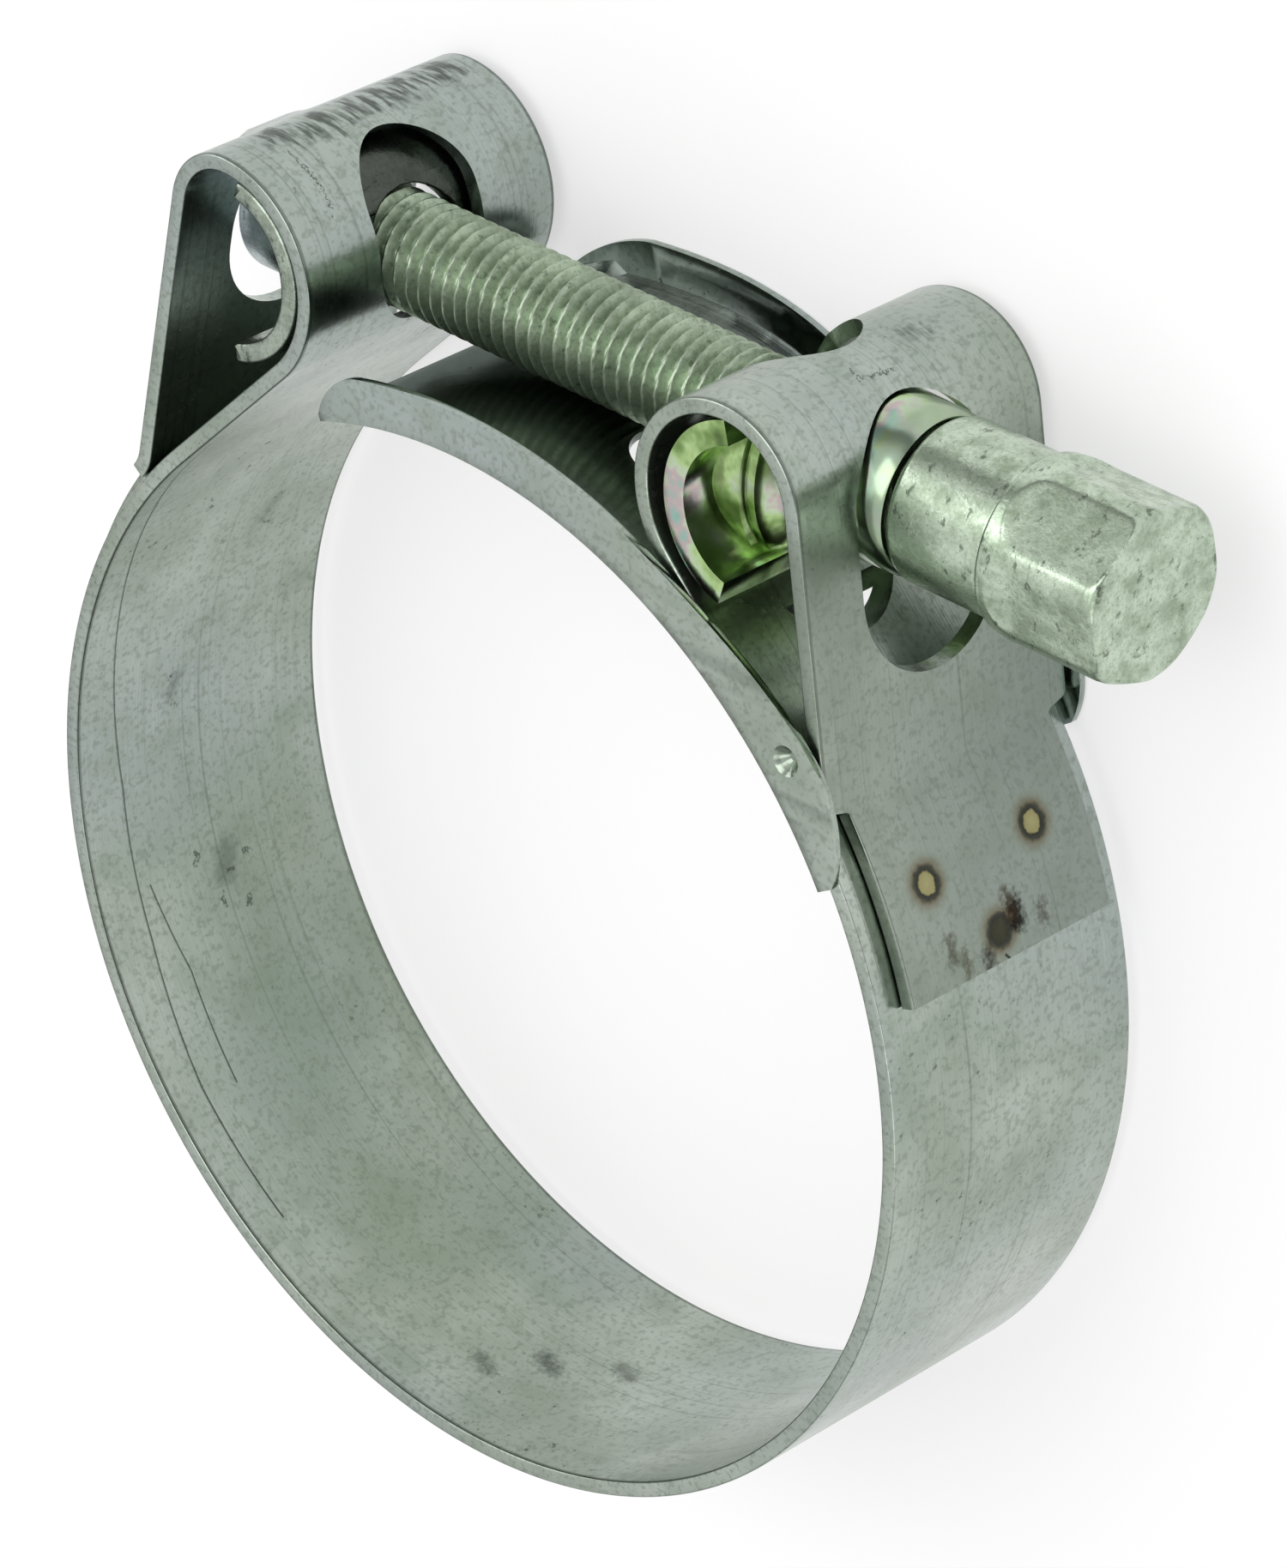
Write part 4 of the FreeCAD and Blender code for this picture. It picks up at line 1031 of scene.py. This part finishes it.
def set_studio():
    """Soft grey surroundings by height, white where the camera sees them, and three lights."""
    world = bpy.data.worlds.new("studio")
    bpy.context.scene.world = world
    world.use_nodes = True
    nodes = Nodes(world.node_tree)
    background = world.node_tree.nodes["Background"]
    direction = nodes.split(nodes.add("ShaderNodeTexCoord").outputs["Generated"])
    greys = [(place, (grey, grey, grey, 1.0)) for place, grey in SKY_GREYS]
    sky = nodes.stops(nodes.ramp(direction["Z"], -1.0, 1.0), greys)
    path = nodes.add("ShaderNodeLightPath")
    nodes.feed(background.inputs["Color"], nodes.mix(path.outputs["Is Camera Ray"], sky, WHITE))
    background.inputs["Strength"].default_value = 1.0
    for name, settings in LIGHTS.items():
        area_light(name, *settings)


def make_floor():
    """A white floor under the clamp. Seen directly or in a reflection, a share of it is plain
    white, and the rest keeps the shadow."""
    low = cad_box[0][2]
    turns = ((-1, -1), (1, -1), (1, 1), (-1, 1))
    mesh = bpy.data.meshes.new("floor")
    mesh.from_pydata([(x * FLOOR_HALF, y * FLOOR_HALF, low) for x, y in turns], [], [(0, 1, 2, 3)])
    floor = bpy.data.objects.new("floor", mesh)
    bpy.context.collection.objects.link(floor)
    finish = Finish("floor")
    finish.shader.inputs["Base Color"].default_value = FLOOR_WHITE
    finish.shader.inputs["Roughness"].default_value = FLOOR_ROUGHNESS
    path = finish.add("ShaderNodeLightPath").outputs
    glow = finish.add("ShaderNodeEmission", {"Color": WHITE, "Strength": 1.0})
    direct = finish.maths("MAXIMUM", path["Is Camera Ray"], path["Is Glossy Ray"])
    direct = finish.maths("MAXIMUM", direct, path["Is Transmission Ray"])
    share = finish.maths("MULTIPLY", direct, FLOOR_GLOW)
    mix = finish.add("ShaderNodeMixShader", {0: share, 1: finish.shader.outputs[0], 2: glow.outputs[0]})
    finish.feed(finish.tree.nodes["Material Output"].inputs["Surface"], mix.outputs[0])
    mesh.materials.append(finish.material)


bpy.context.scene.view_settings.view_transform = "Standard"
set_camera()
set_studio()
make_floor()

strip_finish = rolled_steel("rolled_strip", STEEL_LIGHT, STEEL_DARK, True, strip_marks)
bridge_finish = rolled_steel(
    "thin_strip", THIN_STEEL_LIGHT, STEEL_DARK, False, painted_channel_shade, rough_low=0.1)
bolt_finish = zinc("bolt_zinc", BOLT_ZINC)
# The saddle and the nut are given painted shade towards the middle, where the loop shades them
saddle_finish = zinc("saddle_zinc", SADDLE_ZINC, painted_shade=("Z", 6.0, 4.5))
nut_finish = zinc("nut_zinc", NUT_ZINC, painted_shade=("X", 20.6, 19.8))
thread_finish = zinc("thread_zinc", THREAD_ZINC, rough_low=0.36, worn_share=0.5)
film_finish = passivated("passivation")

dress(make_band(), "clamp", strip_finish, "band")
dress(softened_copy("bridge", "bridge_channel", slope_flange_ends), "clamp", bridge_finish, "bridge")
dress(softened_copy("head_trunnion", "drawn_trunnion"), "clamp", film_finish, "head_trunnion")
dress(make_thread(), "bolt", thread_finish, "bolt")
dress(make_bolt_head(), "bolt", bolt_finish, "bolt")
dress(softened_copy("nut_saddle", "bent_saddle"), "nut_carrier", saddle_finish, "nut_saddle")
dress(softened_copy("nut", "round_nut"), "nut_carrier", nut_finish, "nut")
